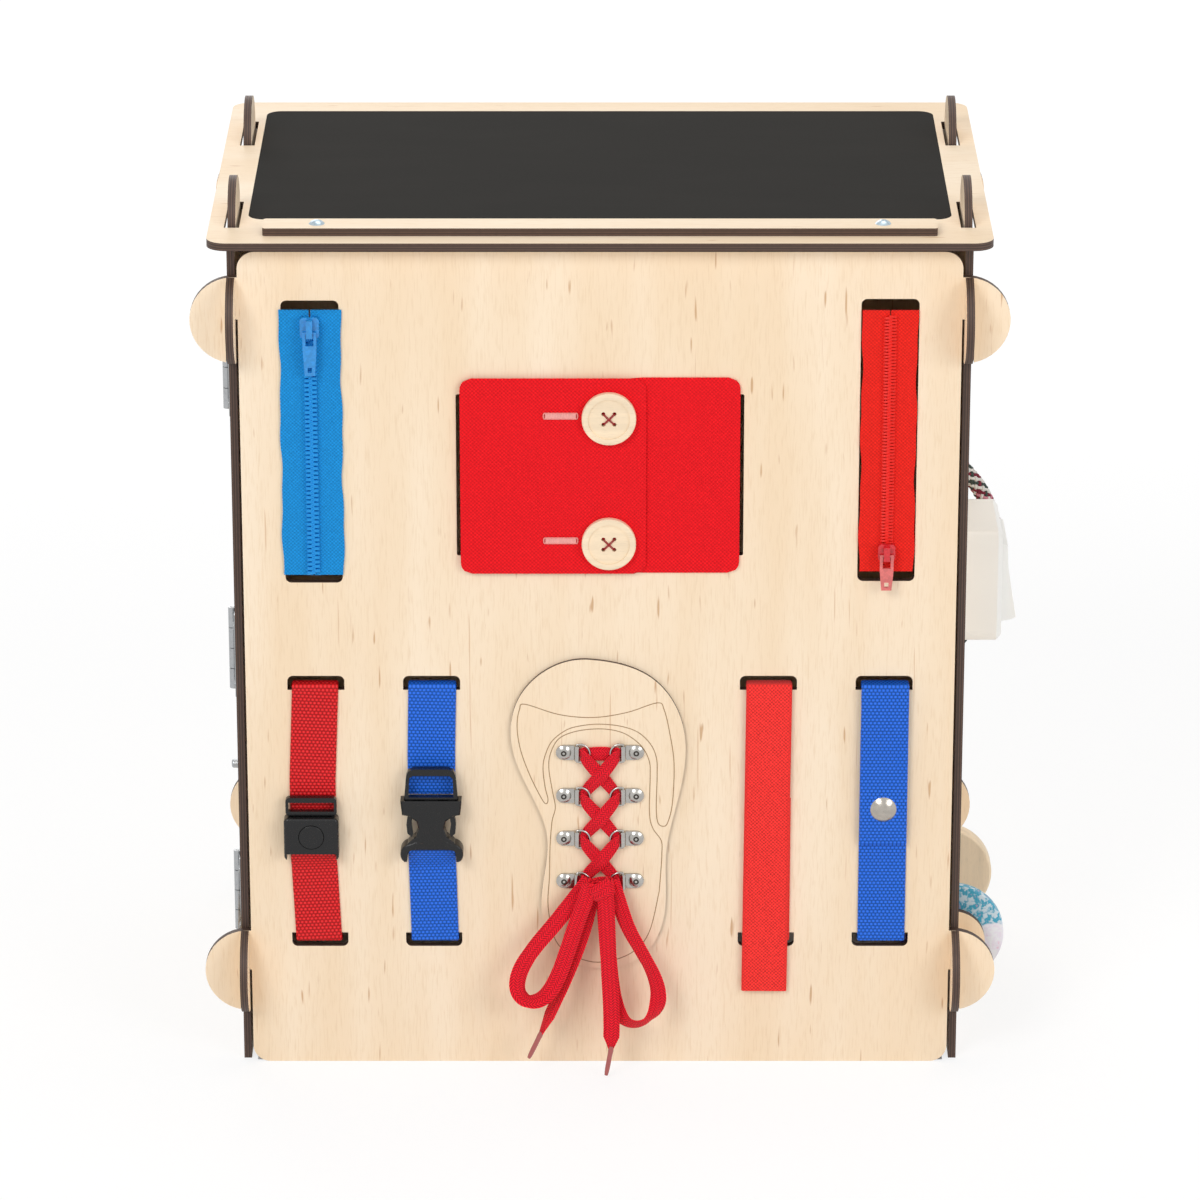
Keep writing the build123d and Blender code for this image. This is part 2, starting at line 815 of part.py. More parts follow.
def side_buckle_socket():
    front = side_back_y - side_depth
    waist = socket_waist_width / 2
    lobe = socket_lobe_width / 2
    notch = blue_strap_width / 2 + abs(blue_strap_x - side_x) + 0.3
    collar = socket_width / 2
    outline = mirrored_outline(
        [
            (collar, socket_high_z),
            (collar - 0.8, socket_collar_z),
            (waist + 5.2, socket_collar_z - 0.6),
            (waist + 1.0, socket_waist_z + 4.5),
            (waist, socket_waist_z),
            (waist + 1.4, socket_waist_z - 4.5),
            (lobe - 3.4, socket_bar_z + 4.6),
            (lobe, socket_bar_z - 0.4),
            (lobe - 0.6, socket_low_z),
            (notch, socket_low_z),
            (notch, socket_bar_z),
        ]
    )
    socket = front_plate(outline, front, side_depth)
    top_edges = socket.edges().group_by(Axis.Y)[0]
    socket = chamfer(top_edges, 0.6)
    mouth = socket_width / 2 - side_wall
    low_y, high_y = front + side_wall, side_back_y - side_wall
    socket -= block(
        (side_x - mouth, low_y, socket_collar_z - 1), (side_x + mouth, high_y, socket_high_z + 1)
    )
    socket -= block(
        (side_x - 3.5, low_y, socket_waist_z), (side_x + 3.5, high_y, socket_collar_z + 1)
    )
    for side in (-1, 1):
        near, far = sorted((side_x + side * (prong_reach - prong_thickness - 0.4), side_x + side * mouth))
        socket -= block((near, low_y, socket_waist_z + 2), (far, high_y, socket_collar_z))
    half = blue_strap_width / 2 + 0.2
    pocket_y = (low_y + high_y) / 2
    return socket - block(
        (blue_strap_x - half, pocket_y - 1.0, socket_low_z),
        (blue_strap_x + half, pocket_y + 1.0, socket_bar_z + 3),
    )


def side_buckle_prongs():
    thickness = side_depth - 2 * side_wall - 2 * layer_gap
    y = side_back_y - side_wall - layer_gap - thickness
    base_z = socket_high_z + 0.3
    frame_half = prong_frame_width / 2
    outline = mirrored_outline(
        [
            (frame_half - 4, prong_frame_high_z),
            (frame_half - 1, prong_frame_high_z - 1.2),
            (frame_half, prong_frame_high_z - 4),
            (frame_half + 0.9, base_z + 2),
            (frame_half + 0.9, base_z),
        ]
    )
    window = mirrored_outline(
        [
            (frame_half - 3.4, prong_frame_high_z - prong_bar),
            (frame_half - 1.6, prong_frame_high_z - prong_bar - 1.5),
            (frame_half - 1.2, base_z + 1.2),
        ]
    )
    frame = front_plate(outline - window, y, thickness)
    arms = []
    for side in (-1, 1):
        arm = Polyline(
            (side_x + side * (prong_reach - 0.6), base_z + 0.2),
            (side_x + side * (prong_reach - 0.9), socket_collar_z),
            (side_x + side * prong_reach, socket_waist_z + 2),
            (side_x + side * (prong_reach - 0.5), socket_waist_z - 3),
            (side_x + side * (prong_reach - 2.6), prong_low_z + 0.6),
            (side_x + side * (prong_reach - 3.4), prong_low_z + 2.2),
            (side_x + side * (prong_reach - 2.7), socket_waist_z + 2),
            (side_x + side * (prong_reach - prong_thickness), socket_collar_z + 2),
            (side_x + side * (prong_reach - prong_thickness), base_z + 0.2),
            close=True,
        )
        arms.append(front_plate(make_face(arm), y, thickness))
    guide = block(
        (side_x - 3.2, y, socket_waist_z + 2), (side_x + 3.2, y + thickness, base_z + 0.2)
    )
    return frame + arms[0] + arms[1] + guide


# ---------------------------------------------------------------- lacing shoe
def shoe_plate():
    points = [(x * shoe_width, shoe_low_z + z * shoe_height) for x, z in shoe_outline]
    return front_plate(make_face(Spline(*points, periodic=True)), shoe_y, shoe_thickness)


def ring_y():
    return shoe_y - clip_thickness / 2 - ring_wire_radius - 0.75


def lace_clips():
    """Folded strips, each riveted at one end and holding a ring's bar in its fold."""
    clips = []
    fold_radius = ring_wire_radius + 0.9
    y = shoe_y - clip_thickness
    for z in clip_rows_z:
        for side in (-1, 1):
            x = side * clip_rivet_x
            inner = side * clip_fold_x
            length = clip_rivet_x - clip_fold_x
            strip = Pos((x + inner) / 2, z) * Rectangle(length, clip_height)
            strip += Pos(x, z) * Circle(clip_height / 2)
            clip = front_plate(strip, y, clip_thickness)
            half = clip_height / 2
            fold = rod((inner, ring_y(), z - half), (inner, ring_y(), z + half), fold_radius)
            head = dome((x, y, z), (x, y - clip_rivet_height, z), clip_rivet_radius)
            clip += fold + head
            bore = ring_wire_radius + 0.1
            clip -= rod((inner, ring_y(), z - half - 1), (inner, ring_y(), z + half + 1), bore)
            clips.append(clip)
    return clips


def lace_rings():
    rings = []
    y = ring_y()
    half = ring_height / 2 - ring_wire_radius
    for z in clip_rows_z:
        for side in (-1, 1):
            bar_x, tip_x = side * clip_fold_x, side * ring_tip_x
            high, low = (bar_x, y, z + half), (bar_x, y, z - half)
            bow = ThreePointArc(high, (tip_x, y, z), low)
            start = Plane(origin=bow @ 0, z_dir=bow % 0)
            ring = sweep(start * Circle(ring_wire_radius), path=bow)
            ring += rod(low, high, ring_wire_radius)
            for corner in (low, high):
                ring += Pos(*corner) * Sphere(ring_wire_radius)
            rings.append(ring)
    return rings


def lacing():
    """The laces' zigzag over the rings, one layer each, and the knot of the bow."""
    gap = 0.15
    near_y = ring_y() - ring_wire_radius - gap - lace_thickness
    far_y = near_y - gap - lace_thickness
    reach = clip_fold_x - lace_inset
    layers = []
    for start, y in ((-1, near_y), (1, far_y)):
        side = start
        lace = None
        for high, low in zip(clip_rows_z, clip_rows_z[1:]):
            run = Vector(-2 * side * reach, low - high)
            tilt = degrees(atan2(run.Y, run.X))
            stripe = Rot(0, 0, tilt) * Rectangle(run.length + 1, lace_width)
            piece = front_plate(Pos(0, (high + low) / 2) * stripe, y, lace_thickness)
            lace = piece if lace is None else lace + piece
            side = -side
        layers.append(lace)
    bar = Pos(0, clip_rows_z[0]) * Rectangle(2 * reach, lace_width)
    layers[0] += front_plate(bar, near_y, lace_thickness)
    knot = Pos(0, knot_low_z + knot_height / 2) * RectangleRounded(knot_width, knot_height, 3)
    knot_front = knot_back_y - knot_depth
    layers[1] += front_plate(knot, knot_front, far_y + lace_thickness - knot_front)
    knot_rest = front_plate(knot, far_y + lace_thickness, knot_back_y - far_y - lace_thickness)
    layers[1] += knot_rest - layers[0]
    return layers


def corner_radii(route):
    """The largest arc at each corner of a cord's route: 0.45 of the shorter run, by the half turn."""
    radii = []
    for before, corner, after in zip(route, route[1:], route[2:]):
        first, second = Vector(*corner) - Vector(*before), Vector(*after) - Vector(*corner)
        turn = radians(first.get_angle(second))
        radii.append(0.45 * min(first.length, second.length) / tan(turn / 2))
    return radii


def cord(name, route, radius):
    """A round tube of straight runs joined by tangent arcs."""
    radii = corner_radii(route)
    path = Wire(FilletPolyline(*route, radius=radii).edges())
    tube = sweep(Plane(origin=path @ 0, z_dir=path % 0) * Circle(radius), path=path)
    share = tube.volume / (pi * radius**2 * path.length)
    print(f"{name}: {path.length:.1f} mm long, radii", [round(r, 1) for r in radii], f"volume {share:.4f}")
    return tube


loop_left_route = [
    (-5.5, -12.0, 107.5),
    (-12.9, -12.0, 97.4),
    (-23.5, -14.0, 83.7),
    (-34.6, -17.0, 71.3),
    (-42.4, -19.6, 59.0),
    (-43.6, -21.3, 48.4),
    (-37.4, -22.0, 42.2),
    (-28.6, -21.3, 44.6),
    (-21.9, -19.8, 55.6),
    (-17.0, -18.0, 69.9),
    (-12.4, -16.8, 84.9),
    (-7.4, -16.0, 98.2),
    (-5.2, -15.6, 106.5),
]
loop_right_route = [
    (6.0, -12.0, 107.5),
    (9.3, -12.6, 97.0),
    (14.2, -14.0, 81.8),
    (21.7, -16.0, 68.8),
    (28.3, -18.0, 56.8),
    (31.0, -19.2, 45.6),
    (28.7, -19.7, 35.6),
    (21.4, -19.0, 28.6),
    (13.2, -17.0, 28.9),
    (7.8, -14.4, 37.2),
    (5.6, -12.4, 51.2),
    (4.0, -11.3, 68.4),
    (2.9, -10.7, 86.1),
    (1.8, -10.4, 105.5),
]
tail_left_route = [
    (-3.0, -10.4, 107.5),
    (-5.6, -10.6, 91.3),
    (-10.6, -11.5, 72.4),
    (-17.4, -13.9, 53.2),
    (-24.5, -16.4, 37.1),
    (-31.5, -18.0, 21.8),
]
tail_right_route = [
    (2.2, -16.2, 109.0),
    (3.3, -16.6, 96.0),
    (3.9, -17.5, 79.4),
    (4.7, -19.0, 59.6),
    (5.9, -20.5, 39.3),
    (6.1, -21.4, 24.6),
    (5.6, -21.9, 15.2),
]
aglet_left_tip = (-37.2, -18.4, 9.4)
aglet_right_tip = (3.2, -22.9, 1.6)


def bow_part(name, route):
    """A loop or tail of the bow, cut flush with the knot's underside."""
    tube = cord(name, route, lace_tube_radius)
    far = 200
    return tube - block((-far, -far, knot_low_z), (far, far, knot_low_z + far))


def lace_aglets():
    """The stiff tips of the two lace ends, a hair past the ends of their tubes."""
    aglets = []
    for end, tip in ((tail_left_route[-1], aglet_left_tip), (tail_right_route[-1], aglet_right_tip)):
        end, tip = Vector(*end), Vector(*tip)
        start = end + (tip - end).normalized() * aglet_gap
        aglets.append(rod(tuple(start), tuple(tip), aglet_radius))
    return aglets


# ---------------------------------------------------------------- doors and their hinges
def door(z):
    outline = Rectangle(door_length, door_height)
    hole = Pos(door_length / 2 - door_hole_inset, 0) * Circle(door_hole_radius)
    return side_plate(Pos(door_middle_y(), z) * (outline - hole), -side_out_x, ply)


def hinge_half(z, on_frame):
    """One leaf of a butt hinge with every second knuckle."""
    pitch = hinge_length / knuckle_count
    leaf_x = -side_out_x - hinge_leaf
    near = hinge_y - hinge_leaf_width if on_frame else hinge_y + hinge_barrel_radius + 0.3
    far = hinge_y - hinge_barrel_radius - 0.3 if on_frame else hinge_y + hinge_leaf_width
    outline = Pos((near + far) / 2, z) * Rectangle(far - near, hinge_length)
    half = side_plate(outline, leaf_x, hinge_leaf)
    bore = hinge_pin_radius + hinge_pin_clearance
    for n in range(knuckle_count):
        if (n % 2 == 0) != on_frame:
            continue
        low = z - hinge_length / 2 + n * pitch + knuckle_gap / 2
        high = low + pitch - knuckle_gap
        knuckle = rod((hinge_x, hinge_y, low), (hinge_x, hinge_y, high), hinge_barrel_radius)
        edge = far if on_frame else near
        web_low, web_high = sorted((edge, hinge_y))
        knuckle += block((leaf_x, web_low, low), (leaf_x + hinge_leaf, web_high, high))
        half += knuckle
    half -= rod((hinge_x, hinge_y, z - hinge_length), (hinge_x, hinge_y, z + hinge_length), bore)
    return half


def hinge_pin(z):
    half = hinge_length / 2
    return rod((hinge_x, hinge_y, z - half), (hinge_x, hinge_y, z + half), hinge_pin_radius)


def turn_latch(z, length, width, thickness):
    """A bar that turns on a screw, upright when the door is free."""
    back = -side_out_x - layer_gap
    bar = side_plate(Pos(latch_y, z) * SlotOverall(length, width, rotation=90), back - thickness, thickness)
    seat = back - thickness
    bar -= rod((seat - 1, latch_y, z), (back + 1, latch_y, z), screw_radius + joint_clearance)
    head = dome((seat, latch_y, z), (seat - screw_head_height, latch_y, z), screw_head_radius)
    screw = head + rod((seat - 0.5, latch_y, z), (back + 0.2, latch_y, z), screw_radius)
    return [bar, screw]


def bolt_x():
    return -side_out_x - bolt_plate_thickness - layer_gap - bolt_radius


def bolt_rest_y():
    """The end of the drawn bolt, just clear of the door's edge."""
    return door_middle_y() + door_length / 2 + bolt_draw_gap


def bolt_guide():
    """A plate with two loops that the bolt slides in."""
    low = bolt_rest_y()
    middle = low + bolt_plate_length / 2
    outline = Pos(middle, door_low_z) * RectangleRounded(bolt_plate_length, bolt_plate_height, 2)
    plate_x = -side_out_x - bolt_plate_thickness
    guide = side_plate(outline, plate_x, bolt_plate_thickness)
    radius = bolt_radius + layer_gap + bolt_loop_wall
    for start in (low + 1, low + bolt_plate_length - 1 - bolt_loop_length):
        end = start + bolt_loop_length
        loop = rod((bolt_x(), start, door_low_z), (bolt_x(), end, door_low_z), radius)
        foot = block((bolt_x(), start, door_low_z - radius), (plate_x + 0.5, end, door_low_z + radius))
        guide += loop + foot
    bore = bolt_radius + layer_gap
    near, far = low - 5, low + bolt_plate_length + 5
    guide -= block((-side_out_x, near, 0), (0, far, side_height))
    return guide - rod((bolt_x(), near, door_low_z), (bolt_x(), far, door_low_z), bore)


def slide_bolt():
    low = bolt_rest_y()
    bolt = rod((bolt_x(), low, door_low_z), (bolt_x(), low + bolt_length, door_low_z), bolt_radius)
    knob_y = low + bolt_plate_length / 2 + 3.5
    knob_end = bolt_x() - bolt_radius - bolt_knob_length
    knob = rod((bolt_x(), knob_y, door_low_z), (knob_end, knob_y, door_low_z), bolt_neck_radius)
    head = rod(
        (knob_end + bolt_radius, knob_y, door_low_z),
        (knob_end - bolt_radius, knob_y, door_low_z),
        bolt_radius,
    )
    head = fillet(head.edges().filter_by(GeomType.CIRCLE), bolt_radius * 0.5)
    return bolt + knob + head


# ---------------------------------------------------------------- light switch
def switch_housing():
    """A surface box with bevelled edges and an open face for the rocker."""
    outline = RectangleRounded(switch_width, switch_height, switch_corner)
    low_x = side_out_x
    housing = side_plate(Pos(switch_y, switch_z) * outline, low_x, switch_depth)
    housing = chamfer(housing.faces().sort_by(Axis.X)[-1].edges(), 2.5)
    hole = Rectangle(rocker_width + 2 * rocker_clearance, rocker_height + 2 * rocker_clearance)
    pocket = side_plate(
        Pos(switch_y, switch_z) * hole, low_x + switch_wall, switch_depth
    )
    return housing - pocket


def rocker_pivot_x():
    return side_out_x + switch_depth - rocker_pivot_depth


def switch_rocker():
    """A wedge that rocks on a pin, with its lower half out."""
    face = side_out_x + switch_depth
    half = rocker_height / 2 - 1.2
    low, high = switch_z - half, switch_z + half
    pivot = rocker_pivot_x()
    outline = make_face(
        Polyline(
            (pivot - 2.0, switch_z - 6),
            (pivot - 2.0, switch_z + 6),
            (face - 4.2, high),
            (face + rocker_proud_high, high - 1.0),
            (face + rocker_proud_high + 0.6, switch_z + 8),
            (face + rocker_proud_low, low + 2.5),
            (face + rocker_proud_low - 2.5, low + 1.2),
            (face - 1.0, low),
            close=True,
        )
    )
    start = switch_y + rocker_width / 2
    rocker = extrude(Plane.XZ.offset(-start) * outline, rocker_width)
    pin_reach = rocker_width / 2 + rocker_clearance - 0.1
    pin = rod(
        (pivot, switch_y - pin_reach, switch_z), (pivot, switch_y + pin_reach, switch_z), 1.6
    )
    return rocker + pin


# ---------------------------------------------------------------- rope handle
rope_route = [
    (182.4, rope_y, 291.4),
    (197.6, rope_y, 277.2),
    (207.6, rope_y, 259.6),
    (211.6, rope_y, 239.6),
    (210.2, rope_y, 218.6),
    (203.4, rope_y, 199.4),
    (191.6, rope_y, 182.6),
    (182.4, rope_y, 173.8),
]


def rope_handle():
    rope = cord("rope_handle", rope_route, rope_radius)
    far = 400
    wall = side_out_x + 0.05
    return rope - block((wall - far, -far, 0), (wall, far, far + side_height))


def rope_knots():
    """A knot behind each hole, with the rope's end through it."""
    knots = []
    for z in (rope_top_z, rope_bottom_z):
        outer_x = side_in_x - 0.2
        knot = rod((outer_x - rope_knot_length, rope_y, z), (outer_x, rope_y, z), rope_knot_radius)
        knot = fillet(knot.edges().filter_by(GeomType.CIRCLE), rope_knot_length * 0.3)
        knots.append(knot + rod((outer_x - 2, rope_y, z), (side_out_x, rope_y, z), rope_radius))
    return knots


# ---------------------------------------------------------------- spinning wheels
def wheel_axle():
    z = wheel_window_z
    return rod((side_mid_x, axle_front_y, z), (side_mid_x, axle_back_y, z), axle_radius)


def wheel_brackets():
    """Round plywood cheeks at the window's ends that hold the axle."""
    cheek = Pos(side_mid_x, wheel_window_z) * (
        Circle(bracket_radius) - Circle(axle_radius + joint_clearance / 2)
    )
    return [
        front_plate(cheek, axle_front_y, ply),
        front_plate(cheek, axle_back_y - ply, ply),
    ]


def wheel(radius, y, thickness, edge):
    bore = Circle(axle_radius + wheel_bore_clearance)
    disc = front_plate(Pos(side_mid_x, wheel_window_z) * Circle(radius), y - thickness / 2, thickness)
    disc = fillet(disc.edges().filter_by(GeomType.CIRCLE), edge)
    hole = front_plate(Pos(side_mid_x, wheel_window_z) * bore, y - thickness, 2 * thickness)
    return disc - hole


# ---------------------------------------------------------------- write every sub-part
def main():
    os.makedirs("parts", exist_ok=True)
    save("front_panel", front_panel())
    save("back_panel", back_panel())
    save("left_panel", left_panel())
    save("right_panel", right_panel())
    save("lid_panel", lid_panel())
    save("chalkboard", chalkboard())
    save("chalk_ledge", chalk_ledge())
    save("ledge_screws", *ledge_screws())

    blue = (-zip_x, blue_zip_z, blue_tape_width, blue_tape_length, blue_chain_width)
    red = (zip_x, red_zip_z, red_tape_width, red_tape_length, red_chain_width)
    save("blue_zip_tape", *zip_tape(*blue, blue_chain_pitch))
    save("red_zip_tape", *zip_tape(*red, red_chain_pitch))
    save("blue_zip_slider", zip_slider(-zip_x, blue_slider_z, blue_slider_length, blue_chain_width))
    save("red_zip_slider", zip_slider(zip_x, red_slider_z, red_slider_length, red_chain_width))
    blue_pin_z = pull_pin_z(blue_slider_z, blue_slider_length)
    red_pin_z = pull_pin_z(red_slider_z, red_slider_length)
    save("blue_zip_pull", zip_pull(-zip_x, blue_pin_z, blue_pull_length))
    save("red_zip_pull", zip_pull(zip_x, red_pin_z, red_pull_length))

    save("flap_over", flap_over())
    save("flap_under", flap_under())
    save("flap_buttons", *flap_buttons())

    strap_end_y = press_back_y - press_wall - 1.1
    save("red_strap_upper", upper_strap(red_strap_x, red_strap_width, press_high_z + 1.5))
    save("red_strap_lower", lower_strap(red_strap_x, red_strap_width, strap_end_y, press_low_z + 4))
    save("press_buckle_body", press_buckle_body())
    save("press_buckle_tongue", press_buckle_tongue())
    save("press_button", press_button())

    pocket_y = side_back_y - side_depth / 2
    save("blue_strap_upper", upper_strap(blue_strap_x, blue_strap_width, socket_high_z + 1))
    save("blue_strap_lower", lower_strap(blue_strap_x, blue_strap_width, pocket_y, socket_bar_z + 2.5))
    save("side_buckle_socket", side_buckle_socket())
    save("side_buckle_prongs", side_buckle_prongs())

    touch, snap = (touch_strap_x, touch_strap_width), (snap_strap_x, snap_strap_width)
    save("touch_strap_base", base_strap(*touch, touch_base_end_z, touch_flap_y()))
    save("touch_strap_flap", strap_flap(*touch, touch_strap_end_z, touch_flap_y()))
    save("snap_strap_base", base_strap(*snap, snap_base_end_z, snap_flap_y()))
    post = rod((snap_strap_x, -20, snap_z), (snap_strap_x, 0, snap_z), snap_post_radius)
    save("snap_strap_flap", strap_flap(*snap, snap_flap_end_z, snap_flap_y()) - post)
    save("snap_cap", snap_cap())
    save("snap_stud", snap_stud())

    save("shoe_plate", shoe_plate())
    save("lace_clips", *lace_clips())
    save("lace_rings", *lace_rings())
    save("lacing", *lacing())
    save("lace_loop_left", bow_part("lace_loop_left", loop_left_route))
    save("lace_loop_right", bow_part("lace_loop_right", loop_right_route))
    save("lace_tail_left", bow_part("lace_tail_left", tail_left_route))
    save("lace_tail_right", bow_part("lace_tail_right", tail_right_route))
    save("lace_aglets", *lace_aglets())

    for name, z in door_places():
        save(f"{name}_door", door(z))
        save(f"{name}_hinge_leaf", hinge_half(z, on_frame=False))
    frame_side = [hinge_half(z, on_frame=True) for _, z in door_places()]
    save("hinge_frame_leaves", *frame_side, *[hinge_pin(z) for _, z in door_places()])
    save("top_turn_button", *turn_latch(door_high_z, turn_button_length, turn_button_width, ply))
    save(
        "middle_turn_catch",
        *turn_latch(door_middle_z, turn_catch_length, turn_catch_width, turn_catch_thickness),
    )
    save("bolt_guide", bolt_guide())
    save("slide_bolt", slide_bolt())

    save("switch_housing", switch_housing())
    save("switch_rocker", switch_rocker())
    save("rope_handle", rope_handle())
    save("rope_knots", *rope_knots())
    save("wheel_axle", wheel_axle())
    save("wheel_brackets", *wheel_brackets())
    save("colour_wheel", wheel(colour_wheel_radius, colour_wheel_y, colour_wheel_thickness, 0.6))
    save(
        "wooden_wheel",
        wheel(wooden_wheel_radius, wooden_wheel_y, wooden_wheel_thickness, wooden_wheel_edge),
    )


main()
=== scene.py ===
"""Dresses a plywood busy board: straps, zips, cloth, laces, rope, metal and paint, on a plain stage."""

from math import cos, pi, radians, sin, sqrt

import bmesh
import bpy
from bpy.props import FloatProperty, FloatVectorProperty, PointerProperty
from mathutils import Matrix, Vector, noise


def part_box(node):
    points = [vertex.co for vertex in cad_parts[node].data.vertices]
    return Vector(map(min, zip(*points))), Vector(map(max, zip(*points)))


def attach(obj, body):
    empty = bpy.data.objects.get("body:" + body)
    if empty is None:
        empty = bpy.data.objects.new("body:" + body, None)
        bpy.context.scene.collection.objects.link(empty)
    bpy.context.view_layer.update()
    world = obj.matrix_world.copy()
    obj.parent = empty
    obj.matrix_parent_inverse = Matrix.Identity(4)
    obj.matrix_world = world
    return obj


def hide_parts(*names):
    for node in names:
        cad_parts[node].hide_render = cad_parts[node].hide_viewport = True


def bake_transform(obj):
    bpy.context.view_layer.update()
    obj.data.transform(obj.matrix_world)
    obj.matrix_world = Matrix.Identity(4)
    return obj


bl_info = {
    "name": "Busy Board",
    "version": (1, 0, 0),
    "blender": (4, 5, 0),
    "location": "View3D > Sidebar > Busy Board",
    "description": "Dresses a plywood busy board with its straps, zips, laces, cloth and finishes",
    "category": "Object",
}

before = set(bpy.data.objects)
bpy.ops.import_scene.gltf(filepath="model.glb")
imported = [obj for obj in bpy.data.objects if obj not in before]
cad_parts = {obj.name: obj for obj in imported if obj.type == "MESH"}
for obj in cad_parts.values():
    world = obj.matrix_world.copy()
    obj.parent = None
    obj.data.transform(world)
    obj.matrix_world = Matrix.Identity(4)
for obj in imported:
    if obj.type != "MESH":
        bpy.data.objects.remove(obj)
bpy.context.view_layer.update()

MM = 0.001
X_AXIS, Y_AXIS, Z_AXIS = Vector((1, 0, 0)), Vector((0, 1, 0)), Vector((0, 0, 1))


# ---------------------------------------------------------------- colours and sizes
def linear(code):
    """Turns an sRGB hex value into Blender's linear colour."""
    parts = [int(code[n : n + 2], 16) / 255 for n in (1, 3, 5)]
    return tuple(p / 12.92 if p <= 0.04045 else ((p + 0.055) / 1.055) ** 2.4 for p in parts)


def paint(name, description, code):
    return FloatVectorProperty(
        name=name, description=description, subtype="COLOR", size=3, min=0, max=1, default=linear(code)
    )


def size(name, description, millimetres):
    return FloatProperty(
        name=name,
        description=description,
        default=millimetres * MM,
        min=0.05 * MM,
        soft_max=100 * MM,
        precision=5,
        subtype="DISTANCE",
        unit="LENGTH",
    )


class BoardColours(bpy.types.PropertyGroup):
    """Colours of the board's materials."""

    birch: paint("Birch", "Sanded face of the plywood", "#FBE7CC")
    burnt: paint("Burnt edge", "Laser-cut edge of the plywood", "#47342A")
    chalkboard: paint("Chalkboard", "Chalkboard paint in the lid", "#211F1C")
    blue_zip: paint("Blue zip", "Tape and teeth of the blue zip", "#1F9AE8")
    red_zip: paint("Red zip", "Tape and coil of the red zip", "#FF2A20")
    cloth: paint("Cloth", "Cotton of the buttoned flap", "#FF1A24")
    red_webbing: paint("Red webbing", "Strap of the press buckle", "#EE0C16")
    blue_webbing: paint("Blue webbing", "Straps of the side-release buckle and the snap", "#1570F0")
    coral_tape: paint("Coral tape", "Hook-and-loop strap", "#F83A36")
    buckle: paint("Buckle", "Moulded plastic of both buckles", "#121213")
    lace: paint("Lace", "Flat braid of the shoe lace", "#F2162C")
    switch: paint("Switch", "Moulded plastic of the light switch", "#FBFAF6")
    beech: paint("Beech", "Turned wood of the buttons and the wheel", "#F8E2C2")


class BoardSizes(bpy.types.PropertyGroup):
    """Sizes of the board's soft parts and small details."""

    webbing_rib: size("Webbing rib", "Distance from one rib of the webbing to the next", 1.8)
    cloth_thread: size("Cloth thread", "Distance between the cotton's threads, drawn coarser than real", 2.0)
    lace_width: size("Lace width", "Width of the flat braid", 8.5)
    lace_thickness: size("Lace thickness", "Thickness of the flat braid at its middle", 1.5)
    tooth_pitch: size("Tooth pitch", "Distance between two teeth on one side of the blue zip", 2.4)
    coil_pitch: size("Coil pitch", "Distance between two turns on one side of the red zip", 1.7)
    rope_lay: size("Rope lay", "Length in which a yarn of the rope goes round once", 26.0)
    engraving: size("Engraving", "Width of the burnt lines on the shoe", 0.5)


def extent(node):
    """The lowest and highest corner of a CAD part, in millimetres to a thousandth."""
    return [[round(value / MM, 3) for value in corner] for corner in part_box(node)]


# ---------------------------------------------------------------- shapes, in millimetres
def clamp(value, low=0.0, high=1.0):
    return max(low, min(high, value))


def turns(steps, extra=0):
    """Even angles round a circle, and extra ones past its end."""
    return [2 * pi * n / steps for n in range(steps + extra)]


def spoke(normal, binormal, angle):
    return normal * cos(angle) + binormal * sin(angle)


def loft(rings):
    """Skins a row of equal rings and closes both ends. Gives points and faces."""
    count = len(rings[0])
    points = [point for ring in rings for point in ring]
    faces = []
    for near in range(0, len(points) - count, count):
        far = near + count
        for column in range(count):
            after = (column + 1) % count
            faces.append((near + column, near + after, far + after, far + column))
    faces.append(tuple(reversed(range(count))))
    faces.append(tuple(range(len(points) - count, len(points))))
    return points, faces


def joined(parts):
    """Several (points, faces) as one."""
    points, faces = [], []
    for some_points, some_faces in parts:
        start = len(points)
        points += some_points
        faces += [tuple(start + corner for corner in face) for face in some_faces]
    return points, faces


def tangents(line):
    last = len(line) - 1
    return [(line[min(n + 1, last)] - line[max(n - 1, 0)]).normalized() for n in range(last + 1)]


def running(line):
    """How far along a line each of its points lies."""
    run = [0.0]
    for before, after in zip(line, line[1:]):
        run.append(run[-1] + (after - before).length)
    return run


def frames(line):
    """A normal and a binormal for each point of a line, with no sudden turn."""
    found = []
    ahead = tangents(line)
    normal = ahead[0].orthogonal().normalized()
    for tangent in ahead:
        normal = (normal - tangent * normal.dot(tangent)).normalized()
        found.append((normal, tangent.cross(normal)))
    return found


def tube(line, radius, sides):
    """A round rod along a line. radius is one number, or one for each point."""
    radii = radius if isinstance(radius, list) else [radius] * len(line)
    return loft([
        [point + spoke(*axes, angle) * r for angle in turns(sides)]
        for point, axes, r in zip(line, frames(line), radii)
    ])


def flat_section(width, thickness, crown=0.0):
    """A band's outline, as (across, out) pairs, with round edges and perhaps a fuller middle."""
    half, edge = width / 2, thickness / 2
    inner = half - edge * 0.8
    stations = [inner * share for share in (-1, -0.6, -0.2, 0.2, 0.6, 1)]
    upper = [(u, edge + crown * (1 - (u / half) ** 2)) for u in stations]
    lower = [(u, -n) for u, n in reversed(upper)]
    return upper + [(half, 0)] + lower + [(-half, 0)]


def band(line, across, section, shares=None):
    """A flat strip along a line. across is its width's direction, or one for each point, and shares narrow
    it there. Gives points, faces and each point's place across and along the strip."""
    rings, places = [], []
    for n, (point, tangent, run) in enumerate(zip(line, tangents(line), running(line))):
        side = across[n] if isinstance(across, list) else across
        side = (side - tangent * side.dot(tangent)).normalized()
        out = tangent.cross(side)
        share = shares[n] if shares else 1.0
        rings.append([point + side * u * share + out * v for u, v in section])
        places += [(u, run) for u, v in section]
    return (*loft(rings), places)


